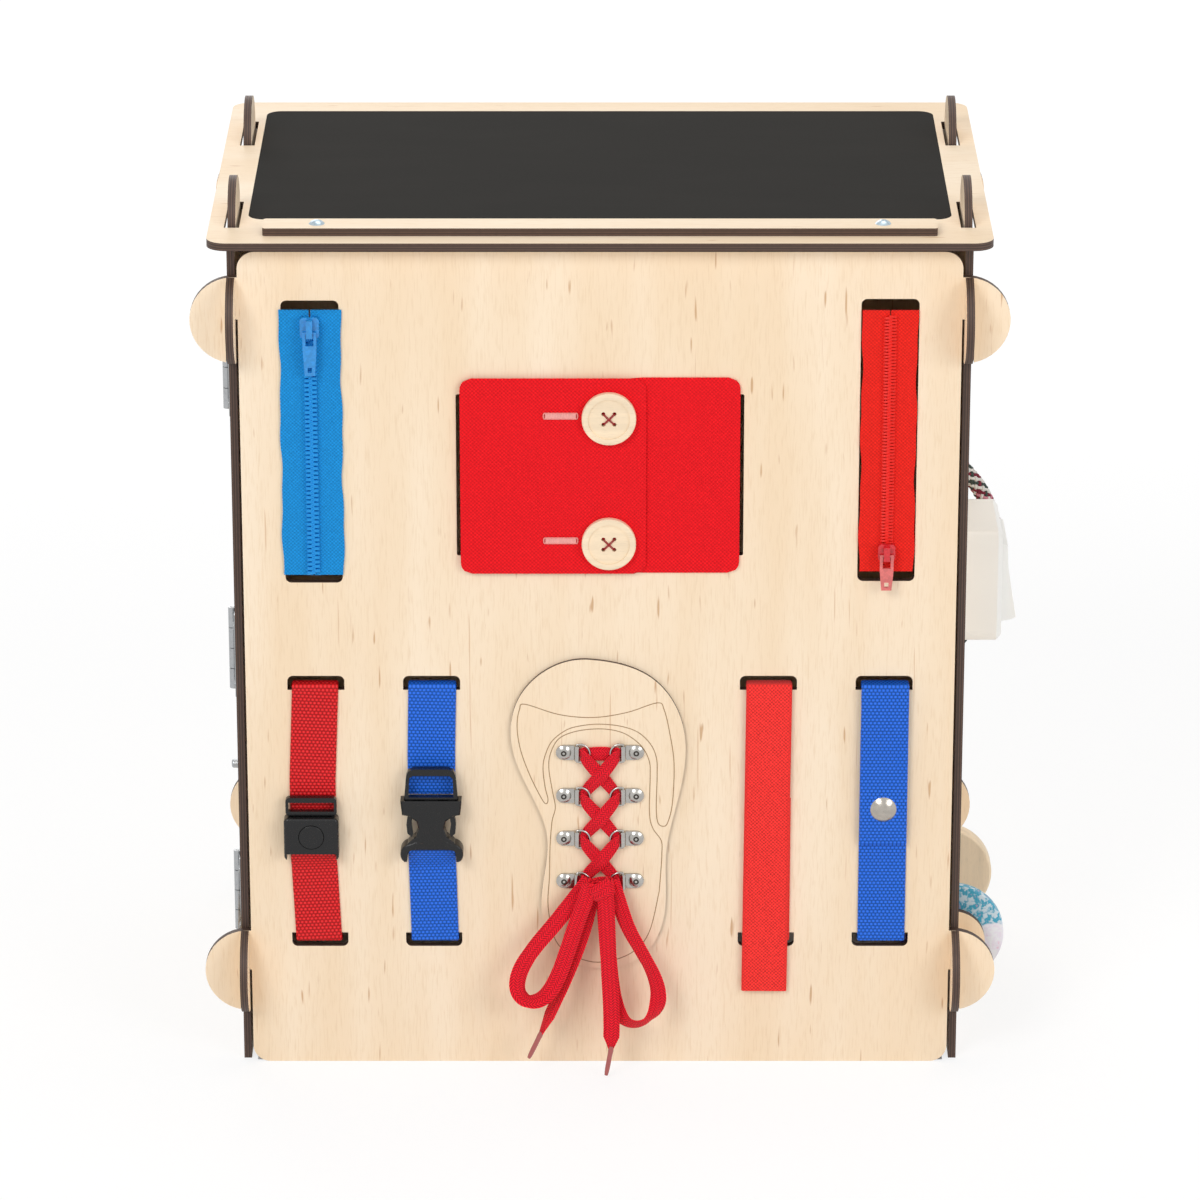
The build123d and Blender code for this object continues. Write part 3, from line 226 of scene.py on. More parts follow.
def rounded(corners, radius):
    """A line with an arc of that radius at each corner, as points a short step apart."""
    arc_steps, step = 6, 0.8
    corners = [Vector(c) for c in corners]
    line = [corners[0]]
    for before, corner, after in zip(corners, corners[1:], corners[2:]):
        back, on = before - corner, after - corner
        reach = min(radius, back.length * 0.49, on.length * 0.49)
        start, end = corner + back.normalized() * reach, corner + on.normalized() * reach
        for n in range(arc_steps + 1):
            t = n / arc_steps
            line.append(start * (1 - t) ** 2 + corner * 2 * t * (1 - t) + end * t**2)
    line.append(corners[-1])
    close = [line[0]]
    for before, after in zip(line, line[1:]):
        pieces = max(1, round((after - before).length / step))
        close += [before.lerp(after, (n + 1) / pieces) for n in range(pieces)]
    return close


def catmull_rom(p, q, r, s, t):
    """The value a share t of the way from q to r, on a smooth curve through all four."""
    return 0.5 * (2 * q + (r - p) * t + (2 * p - 5 * q + 4 * r - s) * t**2 + (3 * q - p - 3 * r + s) * t**3)


def smooth(points, closed, steps=6):
    """A smooth curve through points, which are tuples of any length, with steps from one to the next."""
    count = len(points)
    found = []
    for n in range(count if closed else count - 1):
        near = [(n + k) % count if closed else clamp(n + k, 0, count - 1) for k in (-1, 0, 1, 2)]
        for step in range(steps):
            values = zip(*(points[k] for k in near))
            found.append(tuple(catmull_rom(*four, step / steps) for four in values))
    return found if closed else found + [points[-1]]


def turned(centre, axis, profile, steps):
    """A turned shape: profile is (along, radius) pairs from one end to the other."""
    normal = axis.orthogonal().normalized()
    binormal = axis.cross(normal)
    return loft([
        [centre + axis * along + spoke(normal, binormal, angle) * radius for angle in turns(steps)]
        for along, radius in profile
    ])


def bevelled(centre, size_xyz, bevel):
    """A block with its front edges chamfered."""
    x, y, z = (s / 2 for s in size_xyz)
    rings = []
    for depth, inset in ((-y, bevel), (-y + bevel, 0), (y, 0)):
        w, h = x - inset, z - inset
        corners = ((-w, -h), (w, -h), (w, h), (-w, h))
        rings.append([centre + Vector((across, depth, up)) for across, up in corners])
    return loft(rings)


def put(name, shape, body, material, replaces=(), crease=35, shades=None):
    """Makes a piece from a shape and ties it to its body, if it is given one. crease is the
    angle from which an edge stays sharp, and shades has the number of a material for each face."""
    points, faces = shape[:2]
    mesh = bpy.data.meshes.new(name)
    mesh.from_pydata([tuple(Vector(p) * MM) for p in points], [], faces)
    if len(shape) > 2:
        layer = mesh.uv_layers.new(name="strand")
        for loop in mesh.loops:
            layer.data[loop.index].uv = shape[2][loop.vertex_index]
    made = bmesh.new()
    made.from_mesh(mesh)
    bmesh.ops.recalc_face_normals(made, faces=made.faces)
    made.to_mesh(mesh)
    made.free()
    for finish in material if isinstance(material, list) else [material]:
        mesh.materials.append(finish)
    if shades:
        mesh.polygons.foreach_set("material_index", shades)
    mesh.shade_smooth()
    mesh.set_sharp_from_angle(angle=radians(crease))
    piece = bpy.data.objects.new(name, mesh)
    bpy.context.scene.collection.objects.link(piece)
    if body:
        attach(piece, body)
    if replaces:
        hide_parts(*replaces)
    return piece


def finish_nodes(material, *nodes):
    """Gives CAD parts their finish."""
    for name in nodes:
        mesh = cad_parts[name].data
        mesh.materials.clear()
        mesh.materials.append(material)


# ---------------------------------------------------------------- materials
def add(tree, kind, inputs=None, output=0, **settings):
    """Adds a shader node with its settings, sets or links its inputs, and gives one of its outputs."""
    made = tree.nodes.new("ShaderNode" + kind)
    for name, value in settings.items():
        setattr(made, name, value)
    for key, value in (inputs or {}).items():
        if isinstance(value, bpy.types.NodeSocket):
            tree.links.new(value, made.inputs[key])
        else:
            made.inputs[key].default_value = value
    return made.outputs[output]


def new_material(name, **values):
    """A material with one Principled shader and these values on its sockets. Gives it and its node tree."""
    material = bpy.data.materials.new(name)
    material.use_nodes = True
    tree = material.node_tree
    tree.nodes.clear()
    shader = add(tree, "BsdfPrincipled", {key.replace("_", " "): value for key, value in values.items()})
    tree.links.new(shader, tree.nodes.new("ShaderNodeOutputMaterial").inputs["Surface"])
    return material, tree


def lay_on(tree, colour, height=None, depth=0.0, strength=1.0, roughness=None):
    """Gives the shader its colour, a relief of that depth in millimetres, and perhaps an uneven gloss."""
    inputs = tree.nodes["Principled BSDF"].inputs
    tree.links.new(colour, inputs["Base Color"])
    if height:
        bump = add(tree, "Bump", {"Height": height, "Distance": depth * MM, "Strength": strength})
        tree.links.new(bump, inputs["Normal"])
    if roughness:
        tree.links.new(roughness, inputs["Roughness"])


def shaded(colour, share):
    """A colour times a share, which is one number or one for each of red, green and blue."""
    return tuple(c * s for c, s in zip(colour, share if isinstance(share, tuple) else (share,) * 3))


def tinted(tree, base, tint, pattern, low=0.0, high=1.0, least=0.0, most=1.0):
    """Mixes a tint into a colour: least of it where the pattern is low, and most of it where it is high."""
    base, tint = (c if isinstance(c, bpy.types.NodeSocket) else (*c, 1.0) for c in (base, tint))
    share = add(tree, "MapRange", {0: pattern, 1: low, 2: high, 3: least, 4: most})
    return add(tree, "Mix", {0: share, 6: base, 7: tint}, 2, data_type="RGBA")


def toned(tree, colour, dark, light, pattern, low=0.0, high=1.0):
    """A colour in two shades: dark is its share where the pattern is low, and light where it is high."""
    return tinted(tree, shaded(colour, dark), shaded(colour, light), pattern, low, high)


def spots(tree, sizes, detail=3.0):
    """Noise in object space. sizes is how wide its spots are in millimetres, or one width for each axis."""
    widths = sizes if isinstance(sizes, tuple) else (sizes,) * 3
    inputs = {0: add(tree, "TexCoord", output="Object"), 1: tuple(1 / MM / width for width in widths)}
    where = add(tree, "VectorMath", inputs, operation="MULTIPLY")
    return add(tree, "TexNoise", {"Vector": where, "Scale": 1.0, "Detail": detail})


def fibres(tree, axis, length, width, detail=3.0):
    """Noise that is drawn out along one axis, as the grain of wood is."""
    return spots(tree, tuple(length if n == axis else width for n in range(3)), detail)


def waves(tree, value, pitch, shift=0.0):
    """A sine from -1 to 1 that repeats each pitch."""
    phase = add(tree, "Math", {0: value, 1: 2 * pi / pitch, 2: shift}, operation="MULTIPLY_ADD")
    return add(tree, "Math", {0: phase}, operation="SINE")


def on_strip(tree):
    """How far across and along its strip a point lies, in millimetres."""
    across, along, _ = add(tree, "SeparateXYZ", {0: add(tree, "UVMap", uv_map="strand")}).node.outputs
    return across, along


def plywood(name, thin, along, middle):
    """Birch plywood, laser-cut: a pale sanded face with short fine flecks, and a dark burnt edge in thin
    layers. thin and along are the axes of its thickness and its grain, and middle is where its core lies."""
    birch, burnt = bpy.context.scene.board_colours.birch, bpy.context.scene.board_colours.burnt
    material, tree = new_material(name, Roughness=0.56, IOR=1.5)
    # Broad growth bands, then flecks, brown pith and long hairlines, each with its length and width.
    bands, flecks = fibres(tree, along, 260, 34, 2), fibres(tree, along, 9, 0.75)
    pith, hairlines = fibres(tree, along, 22, 2.6, 1), fibres(tree, along, 70, 1.5, 1)
    face = tinted(tree, shaded(birch, (0.95, 0.9, 0.83)), birch, bands, 0.35, 0.65)
    face = tinted(tree, face, shaded(birch, (0.8, 0.7, 0.56)), flecks, 0.5, 0.74, 0, 0.38)
    face = tinted(tree, face, shaded(birch, (0.6, 0.4, 0.24)), pith, 0.72, 0.79, 0, 0.75)
    face = tinted(tree, face, shaded(birch, (0.66, 0.46, 0.3)), hairlines, 0.765, 0.8, 0, 0.55)
    # The veneers show as layers on the edge, broken up by soot.
    veneers = 1.34
    coordinates = add(tree, "TexCoord").node.outputs
    place = add(tree, "SeparateXYZ", {0: coordinates["Object"]}, thin)
    depth = add(tree, "Math", {0: place, 1: middle * MM}, operation="SUBTRACT")
    layers = {0: waves(tree, depth, veneers * MM, pi / 2), 1: spots(tree, 2.4)}
    layers = add(tree, "Math", layers, operation="MULTIPLY")
    edge = toned(tree, burnt, 0.7, 1.9, layers, -0.1, 0.5)
    facing = add(tree, "SeparateXYZ", {0: coordinates["Normal"]}, thin)
    facing = add(tree, "Math", {0: facing}, operation="ABSOLUTE")
    lay_on(tree, tinted(tree, edge, face, facing, 0.55, 0.75), flecks, 0.06, 0.5)
    return material


def chalkboard_paint(colour):
    """Chalkboard paint, rolled on: near black and dead matt, with a fine tooth and faint wiped chalk."""
    material, tree = new_material("chalkboard paint", Roughness=0.9, IOR=1.45, Specular_IOR_Level=0.2)
    smear, tooth = spots(tree, (90, 30, 30), 4), spots(tree, 0.8)
    face = tinted(tree, colour, shaded(colour, 1.15), smear, 0.4, 0.75)
    face = tinted(tree, face, shaded(colour, 1.7), tooth, 0.55, 0.75, 0, 0.25)
    lay_on(tree, face, tooth, 0.05)
    return material


def webbing(name, colour):
    """Woven polypropylene webbing: rows of small round bumps where its glossy yarns come up, each row half a
    bump on. The gaps between the bumps are painted darker as shade, and the bump tops carry a painted
    highlight."""
    rib = bpy.context.scene.board_sizes.webbing_rib / MM
    material, tree = new_material(name, Roughness=0.48, Specular_IOR_Level=0.28)
    across, along = on_strip(tree)
    row = add(tree, "Math", {0: along, 1: rib}, operation="DIVIDE")
    row = add(tree, "Math", {0: row}, operation="FLOOR")
    row = add(tree, "Math", {0: row, 1: pi / 2}, operation="MULTIPLY")
    ribs = add(tree, "Math", {0: waves(tree, along, rib * 2)}, operation="ABSOLUTE")
    yarns = add(tree, "Math", {0: waves(tree, across, rib * 2.3, row)}, operation="ABSOLUTE")
    height = add(tree, "Math", {0: yarns, 1: ribs}, operation="MULTIPLY")
    # Painted light: the low gaps between the bumps are darkened as painted shade, and the bump tops get a
    # pale painted highlight.
    painted_highlight = tuple(1 - (1 - c) * 0.92 for c in colour)
    face = toned(tree, colour, 0.3, 1.02, height, 0.05, 0.55)
    face = tinted(tree, face, painted_highlight, height, 0.65, 0.95, 0, 0.55)
    fuzz = spots(tree, (0.5, 0.5, 2.0))
    face = tinted(tree, face, shaded(colour, 0.72), fuzz, 0.4, 0.7, 0, 0.3)
    lay_on(tree, face, height, 0.35, 0.9)
    return material


def loop_tape(colour):
    """Hook-and-loop tape: a knitted polyester ground under a fuzz of tiny loops, soft and slightly pale, and
    smoother at its selvedges. The knit is drawn coarser than real, so that it shows. Its colour is darker in
    the low places of the knit as painted shade and paler on its high places as a painted highlight, with the
    random tone of the fuzz mixed in."""
    stitch = 1.9
    material, tree = new_material(
        "hook-and-loop tape", Roughness=0.85, Specular_IOR_Level=0.1, Sheen_Weight=0.08
    )
    across, along = on_strip(tree)
    knit = {0: waves(tree, across, stitch), 1: waves(tree, along, stitch)}
    knit = add(tree, "Math", knit, operation="MULTIPLY")
    height = add(tree, "Math", {0: knit, 1: 0.3, 2: spots(tree, 0.55, 4)}, operation="MULTIPLY_ADD")
    from_middle = add(tree, "Math", {0: across}, operation="ABSOLUTE")
    # Painted shade where the knit and fuzz are low, painted highlight where they are high, mixed with random
    # tone.
    face = toned(tree, colour, 0.55, 1.3, height, 0.15, 0.8)
    face = tinted(tree, face, shaded(colour, 0.82), from_middle, 10.2, 10.5, 0, 0.5)
    lay_on(tree, face, height, 0.3)
    return material


def woven(name, colour, thread):
    """Plain cloth: threads over and under each other, in object space, one thread pitch apart.
    The real threads are about 0.4 mm apart, which is too fine to show, so they are drawn coarser. The low
    threads of the weave are painted darker, as shade."""
    material, tree = new_material(name, Roughness=0.85, Specular_IOR_Level=0.15, Sheen_Weight=0.04)
    place = {0: add(tree, "TexCoord", output="Object")}
    across, _, up = add(tree, "SeparateXYZ", place).node.outputs
    weave = {0: waves(tree, across, thread * MM), 1: waves(tree, up, thread * MM)}
    weave = add(tree, "Math", weave, operation="MULTIPLY")
    slubs = {0: spots(tree, (14, 14, 1.2)), 1: spots(tree, (1.2, 14, 14))}
    slubs = add(tree, "Math", slubs, operation="ADD")
    face = toned(tree, colour, 0.97, 1.05, slubs, 0.75, 1.25)
    # Painted shade: darker where the weave is low.
    face = tinted(tree, face, shaded(colour, 0.5), weave, -0.8, 0.6, 0.7, 0)
    face = tinted(tree, face, shaded(colour, 0.6), spots(tree, 1.3, 1), 0.42, 0.62, 0.3, 0)
    face = tinted(tree, face, shaded(colour, 0.86), spots(tree, 30), 0.4, 0.7, 0, 0.25)
    lay_on(tree, face, weave, 0.16, 0.8)
    return material


def moulded(name, colour, roughness, tooth, coat=0.0):
    """Moulded plastic: one colour, with the fine grain of a spark-eroded tool in its gloss."""
    material, tree = new_material(name, Specular_IOR_Level=0.3, Coat_Weight=coat)
    fine = spots(tree, tooth)
    gloss = add(tree, "MapRange", {0: fine, 1: 0.3, 2: 0.7, 3: roughness - 0.06, 4: roughness + 0.06})
    face = toned(tree, colour, 0.98, 1.02, spots(tree, 40, 1))
    lay_on(tree, face, fine, 0.02, roughness=gloss)
    return material


def plated(name, code, roughness):
    """Nickel or zinc plate on steel: bright metal, a little uneven where it was barrel-plated."""
    colour = linear(code)
    material, tree = new_material(name, Metallic=1.0)
    patch = spots(tree, 2.5)
    gloss = add(tree, "MapRange", {0: patch, 1: 0.3, 2: 0.7, 3: roughness * 0.7, 4: roughness * 1.4})
    face = tinted(tree, shaded(colour, 0.86), colour, patch, 0.35, 0.7)
    lay_on(tree, face, patch, 0.015, roughness=gloss)
    return material


def enamel(name, code):
    """Stove enamel on a cast zipper slider: a glossy even coat, thin on its edges."""
    colour = linear(code)
    material, tree = new_material(name, Roughness=0.28, IOR=1.5, Coat_Weight=0.4, Coat_Roughness=0.12)
    patch = spots(tree, 1.6, 2)
    lay_on(tree, toned(tree, colour, 0.85, 1.1, patch, 0.4, 0.7), patch, 0.02)
    return material


def flat_braid(colour):
    """Flat polyester braid: yarns that run in from both edges and meet in a row of small V shapes. The
    grooves between the yarns are painted darker as shade, and the yarns' crowns paler as a painted
    highlight.
    """
    fold, yarn_pitch, slant = 4.25, 1.5, 0.9
    material, tree = new_material("flat braid", Roughness=0.7, Specular_IOR_Level=0.2, Sheen_Weight=0.05)
    across, along = on_strip(tree)
    folded = add(tree, "Math", {0: across, 1: fold}, operation="PINGPONG")
    folded = add(tree, "Math", {0: folded, 1: 2.1}, operation="PINGPONG")
    slope = add(tree, "Math", {0: folded, 1: slant, 2: along}, operation="MULTIPLY_ADD")
    columns = waves(tree, across, 2.12, pi / 2)
    height = {0: columns, 1: 0.35, 2: waves(tree, slope, yarn_pitch)}
    height = add(tree, "Math", height, operation="MULTIPLY_ADD")
    # Painted shade in the braid's grooves and painted highlight on its crowns, both from its height.
    lay_on(tree, toned(tree, colour, 0.58, 1.35, height, -1.1, 1.0), height, 0.22)
    return material


def yarn(name, code):
    """Twisted polypropylene yarn of the rope, a little shiny."""
    colour = linear(code)
    material, tree = new_material(name, Roughness=0.6, Specular_IOR_Level=0.25)
    fibre = spots(tree, (0.35, 0.35, 1.6), 2)
    lay_on(tree, toned(tree, colour, 0.6, 1.2, fibre), fibre, 0.08)
    return material


def turned_wood(name, colour, axis):
    """Beech or birch, turned and sanded: growth lines across it and short dark rays."""
    material, tree = new_material(name, Roughness=0.5, IOR=1.5)
    growth, rays = fibres(tree, axis, 60, 5.0, 2), fibres(tree, axis, 5.0, 0.5)
    face = toned(tree, colour, 0.93, 1.05, growth, 0.35, 0.65)
    face = tinted(tree, face, shaded(colour, 0.62), rays, 0.55, 0.75, 0, 0.38)
    lay_on(tree, face, rays, 0.04)
    return material


def burnt_line(birch):
    """A line burnt by a laser: brown char with a paler, uneven rim."""
    material, tree = new_material("laser char", Roughness=0.9)
    char = shaded(birch, (0.42, 0.32, 0.22))
    lay_on(tree, toned(tree, char, 0.6, 1.3, spots(tree, 1.5)))
    return material


def wheel_paint():
    """Sponged toy paint in four sectors of a disc that turns about its own middle, with pale dabs a few
    millimetres wide."""
    material, tree = new_material("sponged toy paint", Roughness=0.4, IOR=1.5)
    low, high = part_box("colour_wheel")
    place = {0: add(tree, "TexCoord", output="Object"), 1: (low + high) / 2}
    place = add(tree, "VectorMath", place, operation="SUBTRACT")
    across, _, up = add(tree, "SeparateXYZ", {0: place}).node.outputs
    angle = add(tree, "Math", {0: up, 1: across}, operation="ARCTAN2")
    angle = add(tree, "Math", {0: spots(tree, 12, 2), 1: 0.5, 2: angle}, operation="MULTIPLY_ADD")
    face = linear("#8A6FC4")
    for start, code in ((-1.0, "#ECE7F2"), (0.45, "#35A6C6"), (2.0, "#F0CB3E")):
        face = tinted(tree, face, linear(code), angle, start, start + 0.05)
    dabs = spots(tree, 2.6)
    face = tinted(tree, face, (0.88, 0.9, 0.93), dabs, 0.47, 0.58, 0, 0.7)
    face = tinted(tree, face, linear("#E7A3C0"), dabs, 0.4, 0.3, 0, 0.5)
    lay_on(tree, face, dabs, 0.06)
    return material


# ---------------------------------------------------------------- panels and lid
class BOARD_OT_plywood(bpy.types.Operator):
    """Give every laser-cut panel its birch face and burnt edges"""

    bl_idname = "board.plywood"
    bl_label = "Plywood panels"

    def execute(self, context):
        x, y, z = range(3)
        for thin, along, names in (
            (y, z, ("front_panel", "back_panel", "shoe_plate", "wheel_brackets")),
            (x, z, ("left_panel", "right_panel", "top_door", "middle_door", "bottom_door")),
            (z, x, ("lid_panel", "chalk_ledge")),
        ):
            for name in names:
                low, high = extent(name)
                middle = (low[thin] + high[thin]) / 2
                finish_nodes(plywood("birch plywood " + name.replace("_", " "), thin, along, middle), name)
        return {"FINISHED"}


class BOARD_OT_lid(bpy.types.Operator):
    """Finish the chalkboard and the screws of its ledge"""

    bl_idname = "board.lid"
    bl_label = "Chalkboard lid"

    def execute(self, context):
        finish_nodes(chalkboard_paint(context.scene.board_colours.chalkboard), "chalkboard")
        finish_nodes(plated("zinc plate", "#B9C9D2", 0.3), "ledge_screws")
        return {"FINISHED"}


# ---------------------------------------------------------------- zips
def zip_tapes(node, shown, gap):
    """The two woven tapes of a zip, with a fine wave in their outer edges and a ridge beside the chain.
    shown is the length that shows in the slot, and gap is half the distance between the tapes."""
    low, high = extent(node)
    x, middle_z = (low[0] + high[0]) / 2, (low[2] + high[2]) / 2
    front, thickness, ridge, rows = -3.15, 1.0, 0.45, int(shown)
    parts = []
    for side in (-1, 1):
        rings = []
        for n in range(rows + 1):
            z = middle_z - shown / 2 + shown * n / rows
            wave = 0.35 * sin(z / 9.0) + 0.25 * sin(z / 4.1 + side)
            inner, outer = x + side * gap, x + side * ((high[0] - low[0]) / 2 + wave - 0.3)
            lift = 0.35 * noise.noise(Vector((side * 3.1, 0, z / 16)))
            section = ((0, ridge), (0.2, ridge), (0.28, 0), (0.6, lift), (0.9, lift * 0.5), (1, 0))
            face = [Vector((inner + (outer - inner) * t, front - rise, z)) for t, rise in section]
            back = [Vector((point.x, front + thickness, z)) for point in reversed(face)]
            rings.append(face + back)
        parts.append(loft(rings))
    return joined(parts)


def both_rows(low, high, pitch):
    """The side and height of each tooth or turn of a zip. The right row is half a pitch above the left."""
    count = int((high - low) / pitch)
    return [(side, low + (n + 0.5 + side * 0.25) * pitch) for n in range(count) for side in (-1, 1)]


def moulded_teeth(x, low, high, pitch):
    """Two rows of moulded teeth, each with a block on the tape and a head that meshes past the middle."""
    parts = []
    for side, z in both_rows(low, high, pitch):
        parts.append(bevelled(Vector((x + side * 1.7, -4.35, z)), (2.9, 2.3, pitch * 0.7), 0.35))
        parts.append(bevelled(Vector((x - side * 0.15, -4.2, z)), (1.7, 1.9, pitch * 0.56), 0.3))
    return joined(parts)


def coil(x, low, high, pitch):
    """A nylon coil: slanted round turns from both sides that cross in the middle."""
    turn = ((2.5, -3.6, -0.1), (2.7, -4.3, 0), (2.1, -4.7, 0.05), (0.6, -4.65, 0.1), (-0.7, -4.35, 0.12))
    return joined([
        tube([Vector((x + side * out, y, z + up)) for out, y, up in turn], pitch * 0.4, 6)
        for side, z in both_rows(low, high, pitch)
    ])


def zipper(kind, colour, shown, gap, chain, shape, plastic):
    """One zip: its tapes, and the chain between them."""
    node = f"{kind}_zip_tape"
    tape = woven(f"{kind} polyester tape", colour, 1.9)
    put(f"{kind}_zip_tapes", zip_tapes(node, shown, gap), "root", tape, [node])
    put(f"{kind}_zip_{chain}", shape, "root", plastic)


class BOARD_OT_zips(bpy.types.Operator):
    """Make both zips: their woven tapes, the blue one's moulded teeth and the red one's nylon coil"""

    bl_idname = "board.zips"
    bl_label = "Zips"

    def execute(self, context):
        colours, sizes = context.scene.board_colours, context.scene.board_sizes
        blue, red, from_middle = colours.blue_zip, colours.red_zip, 145.85
        acetal = moulded("blue moulded acetal", shaded(blue, 0.9), 0.4, 0.4)
        teeth = moulded_teeth(-from_middle, 274.2, 413.4, sizes.tooth_pitch / MM)
        zipper("blue", blue, 141.6, 0.4, "teeth", teeth, acetal)
        finish_nodes(enamel("blue stove enamel", "#2391DE"), "blue_zip_slider", "blue_zip_pull")
        nylon = moulded("red nylon coil", shaded(red, 0.85), 0.4, 0.4)
        spiral = coil(from_middle, 276.2, 413.8, sizes.coil_pitch / MM)
        zipper("red", red, 139.6, 0.25, "coil", spiral, nylon)
        finish_nodes(enamel("red lacquer on zinc", "#D9202B"), "red_zip_slider")
        finish_nodes(enamel("pink lacquer on zinc", "#E0706C"), "red_zip_pull")
        return {"FINISHED"}


# ---------------------------------------------------------------- buttoned cloth
def cloth_flap(node, side, front, thickness, seed, hidden_x=None):
    """A sheet of cotton with soft rounded corners, a faint wave and a turned hem along its free edges.
    side says which way it goes from the edge that is held. Left of hidden_x it lies under another sheet and
    is drawn in a little."""
    radius, hem_width, fade_width = 6, 8, 5
    (left, _, low), (right, _, high) = extent(node)
    held_x, span = left if side > 0 else right, right - left
    columns, rows = int(span / 1.4), int((high - low) / 1.6)
    face, back = [], []
    for row in range(rows + 1):
        z = low + (high - low) * row / rows
        from_end = min(z - low, high - z)
        past = max(0.0, radius - from_end)
        inset = radius - sqrt(max(0.0, radius**2 - past**2))
        for column in range(columns + 1):
            t = column / columns
            x = held_x + side * (inset + (span - 2 * inset) * t)
            wave = 0.32 * noise.noise(Vector((x / 26, z / 30, seed)))
            wave += 0.10 * noise.noise(Vector((x / 7, z / 9, seed + 4)))
            fade = min(1.0, from_end / fade_width, (1 - t) * span / fade_width, t * span / fade_width)
            from_edge = min((1 - t) * span, from_end)
            hem = 0.09 + 0.09 * fade if 0.6 < from_edge < hem_width else 0.0
            pinch = 0.35 * (1 - min(1.0, from_edge / 0.9)) ** 2
            drawn = z
            if hidden_x is not None:
                drawn -= (z - (low + high) / 2) * 0.02 * clamp((hidden_x - x) / 12)
            face.append(Vector((x, front - wave * fade - hem + pinch, drawn)))
            back.append(Vector((x, front + thickness, drawn)))
    start, width = len(face), columns + 1
    faces = []
    for row in range(rows):
        for a in range(row * width, row * width + columns):
            quad = (a, a + 1, a + width + 1, a + width)
            faces += [quad, tuple(start + corner for corner in reversed(quad))]
    rim = list(range(columns)) + [row * width + columns for row in range(rows)]
    rim += [rows * width + columns - column for column in range(columns)]
    rim += [(rows - row) * width for row in range(rows)]
    faces += [(a, b, start + b, start + a) for a, b in zip(rim, rim[1:] + rim[:1])]
    return face + back, faces


def buttonhole(left, right, z, front):
    """Close stitches round a slit: a flat ring of thread."""
    half, thread = 1.45, 0.36
    straight = (right - left) / 2 - half
    line = []
    for a in turns(48, 1):
        x = (left + right) / 2 + straight * clamp(1.25 * cos(a), -1, 1) + half * cos(a)
        line.append(Vector((x, front, z + half * clamp(1.6 * sin(a), -1, 1))))
    return tube(line, [thread + 0.06 * (n % 2) for n in range(len(line))], 6)


def cross_stitches(centre):
    """The thread of a button: two pairs of stitches that cross over its four holes."""
    reach, thread = 2.8, 0.22
    parts = []
    for lean in (-1, 1):
        for shift in (-0.2, 0.2):
            a = centre + Vector((shift - reach, 0, (-reach - shift) * lean))
            b = centre + Vector((shift + reach, 0, (reach - shift) * lean))
            line = [a, a + Vector((0.4, -1.0, 0.4 * lean)), (a + b) / 2 + Vector((0, -1.25, 0))]
            line += [b + Vector((-0.4, -1.0, -0.4 * lean)), b]
            parts.append(tube(line, thread, 6))
    return parts


class BOARD_OT_cloth(bpy.types.Operator):
    """Make the two cloth flaps, their buttonholes and the buttons' thread"""

    bl_idname = "board.cloth"
    bl_label = "Buttoned cloth"

    def execute(self, context):
        colours = context.scene.board_colours
        thread = context.scene.board_sizes.cloth_thread / MM
        cotton = woven("plain cotton cloth", colours.cloth, thread)
        under = cloth_flap("flap_under", -1, -3.35, 1.1, 2.0, hidden_x=21.0)
        over = cloth_flap("flap_over", 1, -4.95, 1.2, 7.0)
        under = put("cloth_under", under, "root", cotton, ["flap_under"], 60)
        over = put("cloth_over", over, "root", cotton, ["flap_over"], 60)
        # The tails go through the slots and a little way along the back of the panel.
        slot_x, tail_end_x, behind, middle_z = 69.6, 50, 2.75, 326.6
        for name, side, y in (("under_tail", 1, -2.9), ("over_tail", -1, -4.4)):
            corners = [(side * slot_x, y, middle_z), (side * slot_x, behind, middle_z)]
            corners.append((side * tail_end_x, behind, middle_z))
            shape = band(rounded(corners, 1.0), Z_AXIS, flat_section(84.6, 1.1))
            put("cloth_" + name, shape, "root", cotton)
        pale = yarn("pale buttonhole thread", "#F39A93")
        satin = yarn("satin stitch thread", "#F6ABA3")
        left, right, front = -28.6, -11.3, -5.5
        for name, z in (("low", 292.5), ("high", 359.4)):
            put(f"{name}_buttonhole", buttonhole(left, right, z, front), "root", pale)
            bar = bevelled(Vector(((left + right) / 2, front + 0.05, z)), (15.6, 0.5, 2.6), 0.1)
            put(f"{name}_bar", bar, "root", satin)
        finish_nodes(turned_wood("turned birch button", colours.beech, 0), "flap_buttons")
        low, high = extent("flap_buttons")
        button_x, radius, in_holes = (low[0] + high[0]) / 2, (high[0] - low[0]) / 2, -7.4
        stitches = []
        for z in (low[2] + radius, high[2] - radius):
            stitches += cross_stitches(Vector((button_x, in_holes, z)))
        thread = yarn("sewing thread", "#A8242E")
        put("button_stitches", joined(stitches), "root", thread)
        return {"FINISHED"}


# ---------------------------------------------------------------- straps
# The middle of the webbing before and behind the board, and at the ends of its slots.
BEFORE, BEHIND = -2.85, 2.85
SLOT_FOOT, SLOT_TOP = 69.9, 212.75
WEBBING_THICKNESS = 1.4


def strap(name, node, corners, body, material, bend, lean=(0, 0, 0, 1)):
    """One strap in place of a CAD one, along (y, z) corners. lean is how far to the right it lies in its
    slot and at its end, and the heights of the two."""
    low, high = extent(node)
    line = rounded([((low[0] + high[0]) / 2, y, z) for y, z in corners], bend)
    in_slot, at_end, slot_z, end_z = lean
    for point in line:
        share = 0.0 if point.y > 0 else clamp((point.z - slot_z) / (end_z - slot_z))
        point.x += in_slot + (at_end - in_slot) * share
    section = flat_section(high[0] - low[0], WEBBING_THICKNESS)
    return put(name, band(line, X_AXIS, section), body, material, [node], 50)


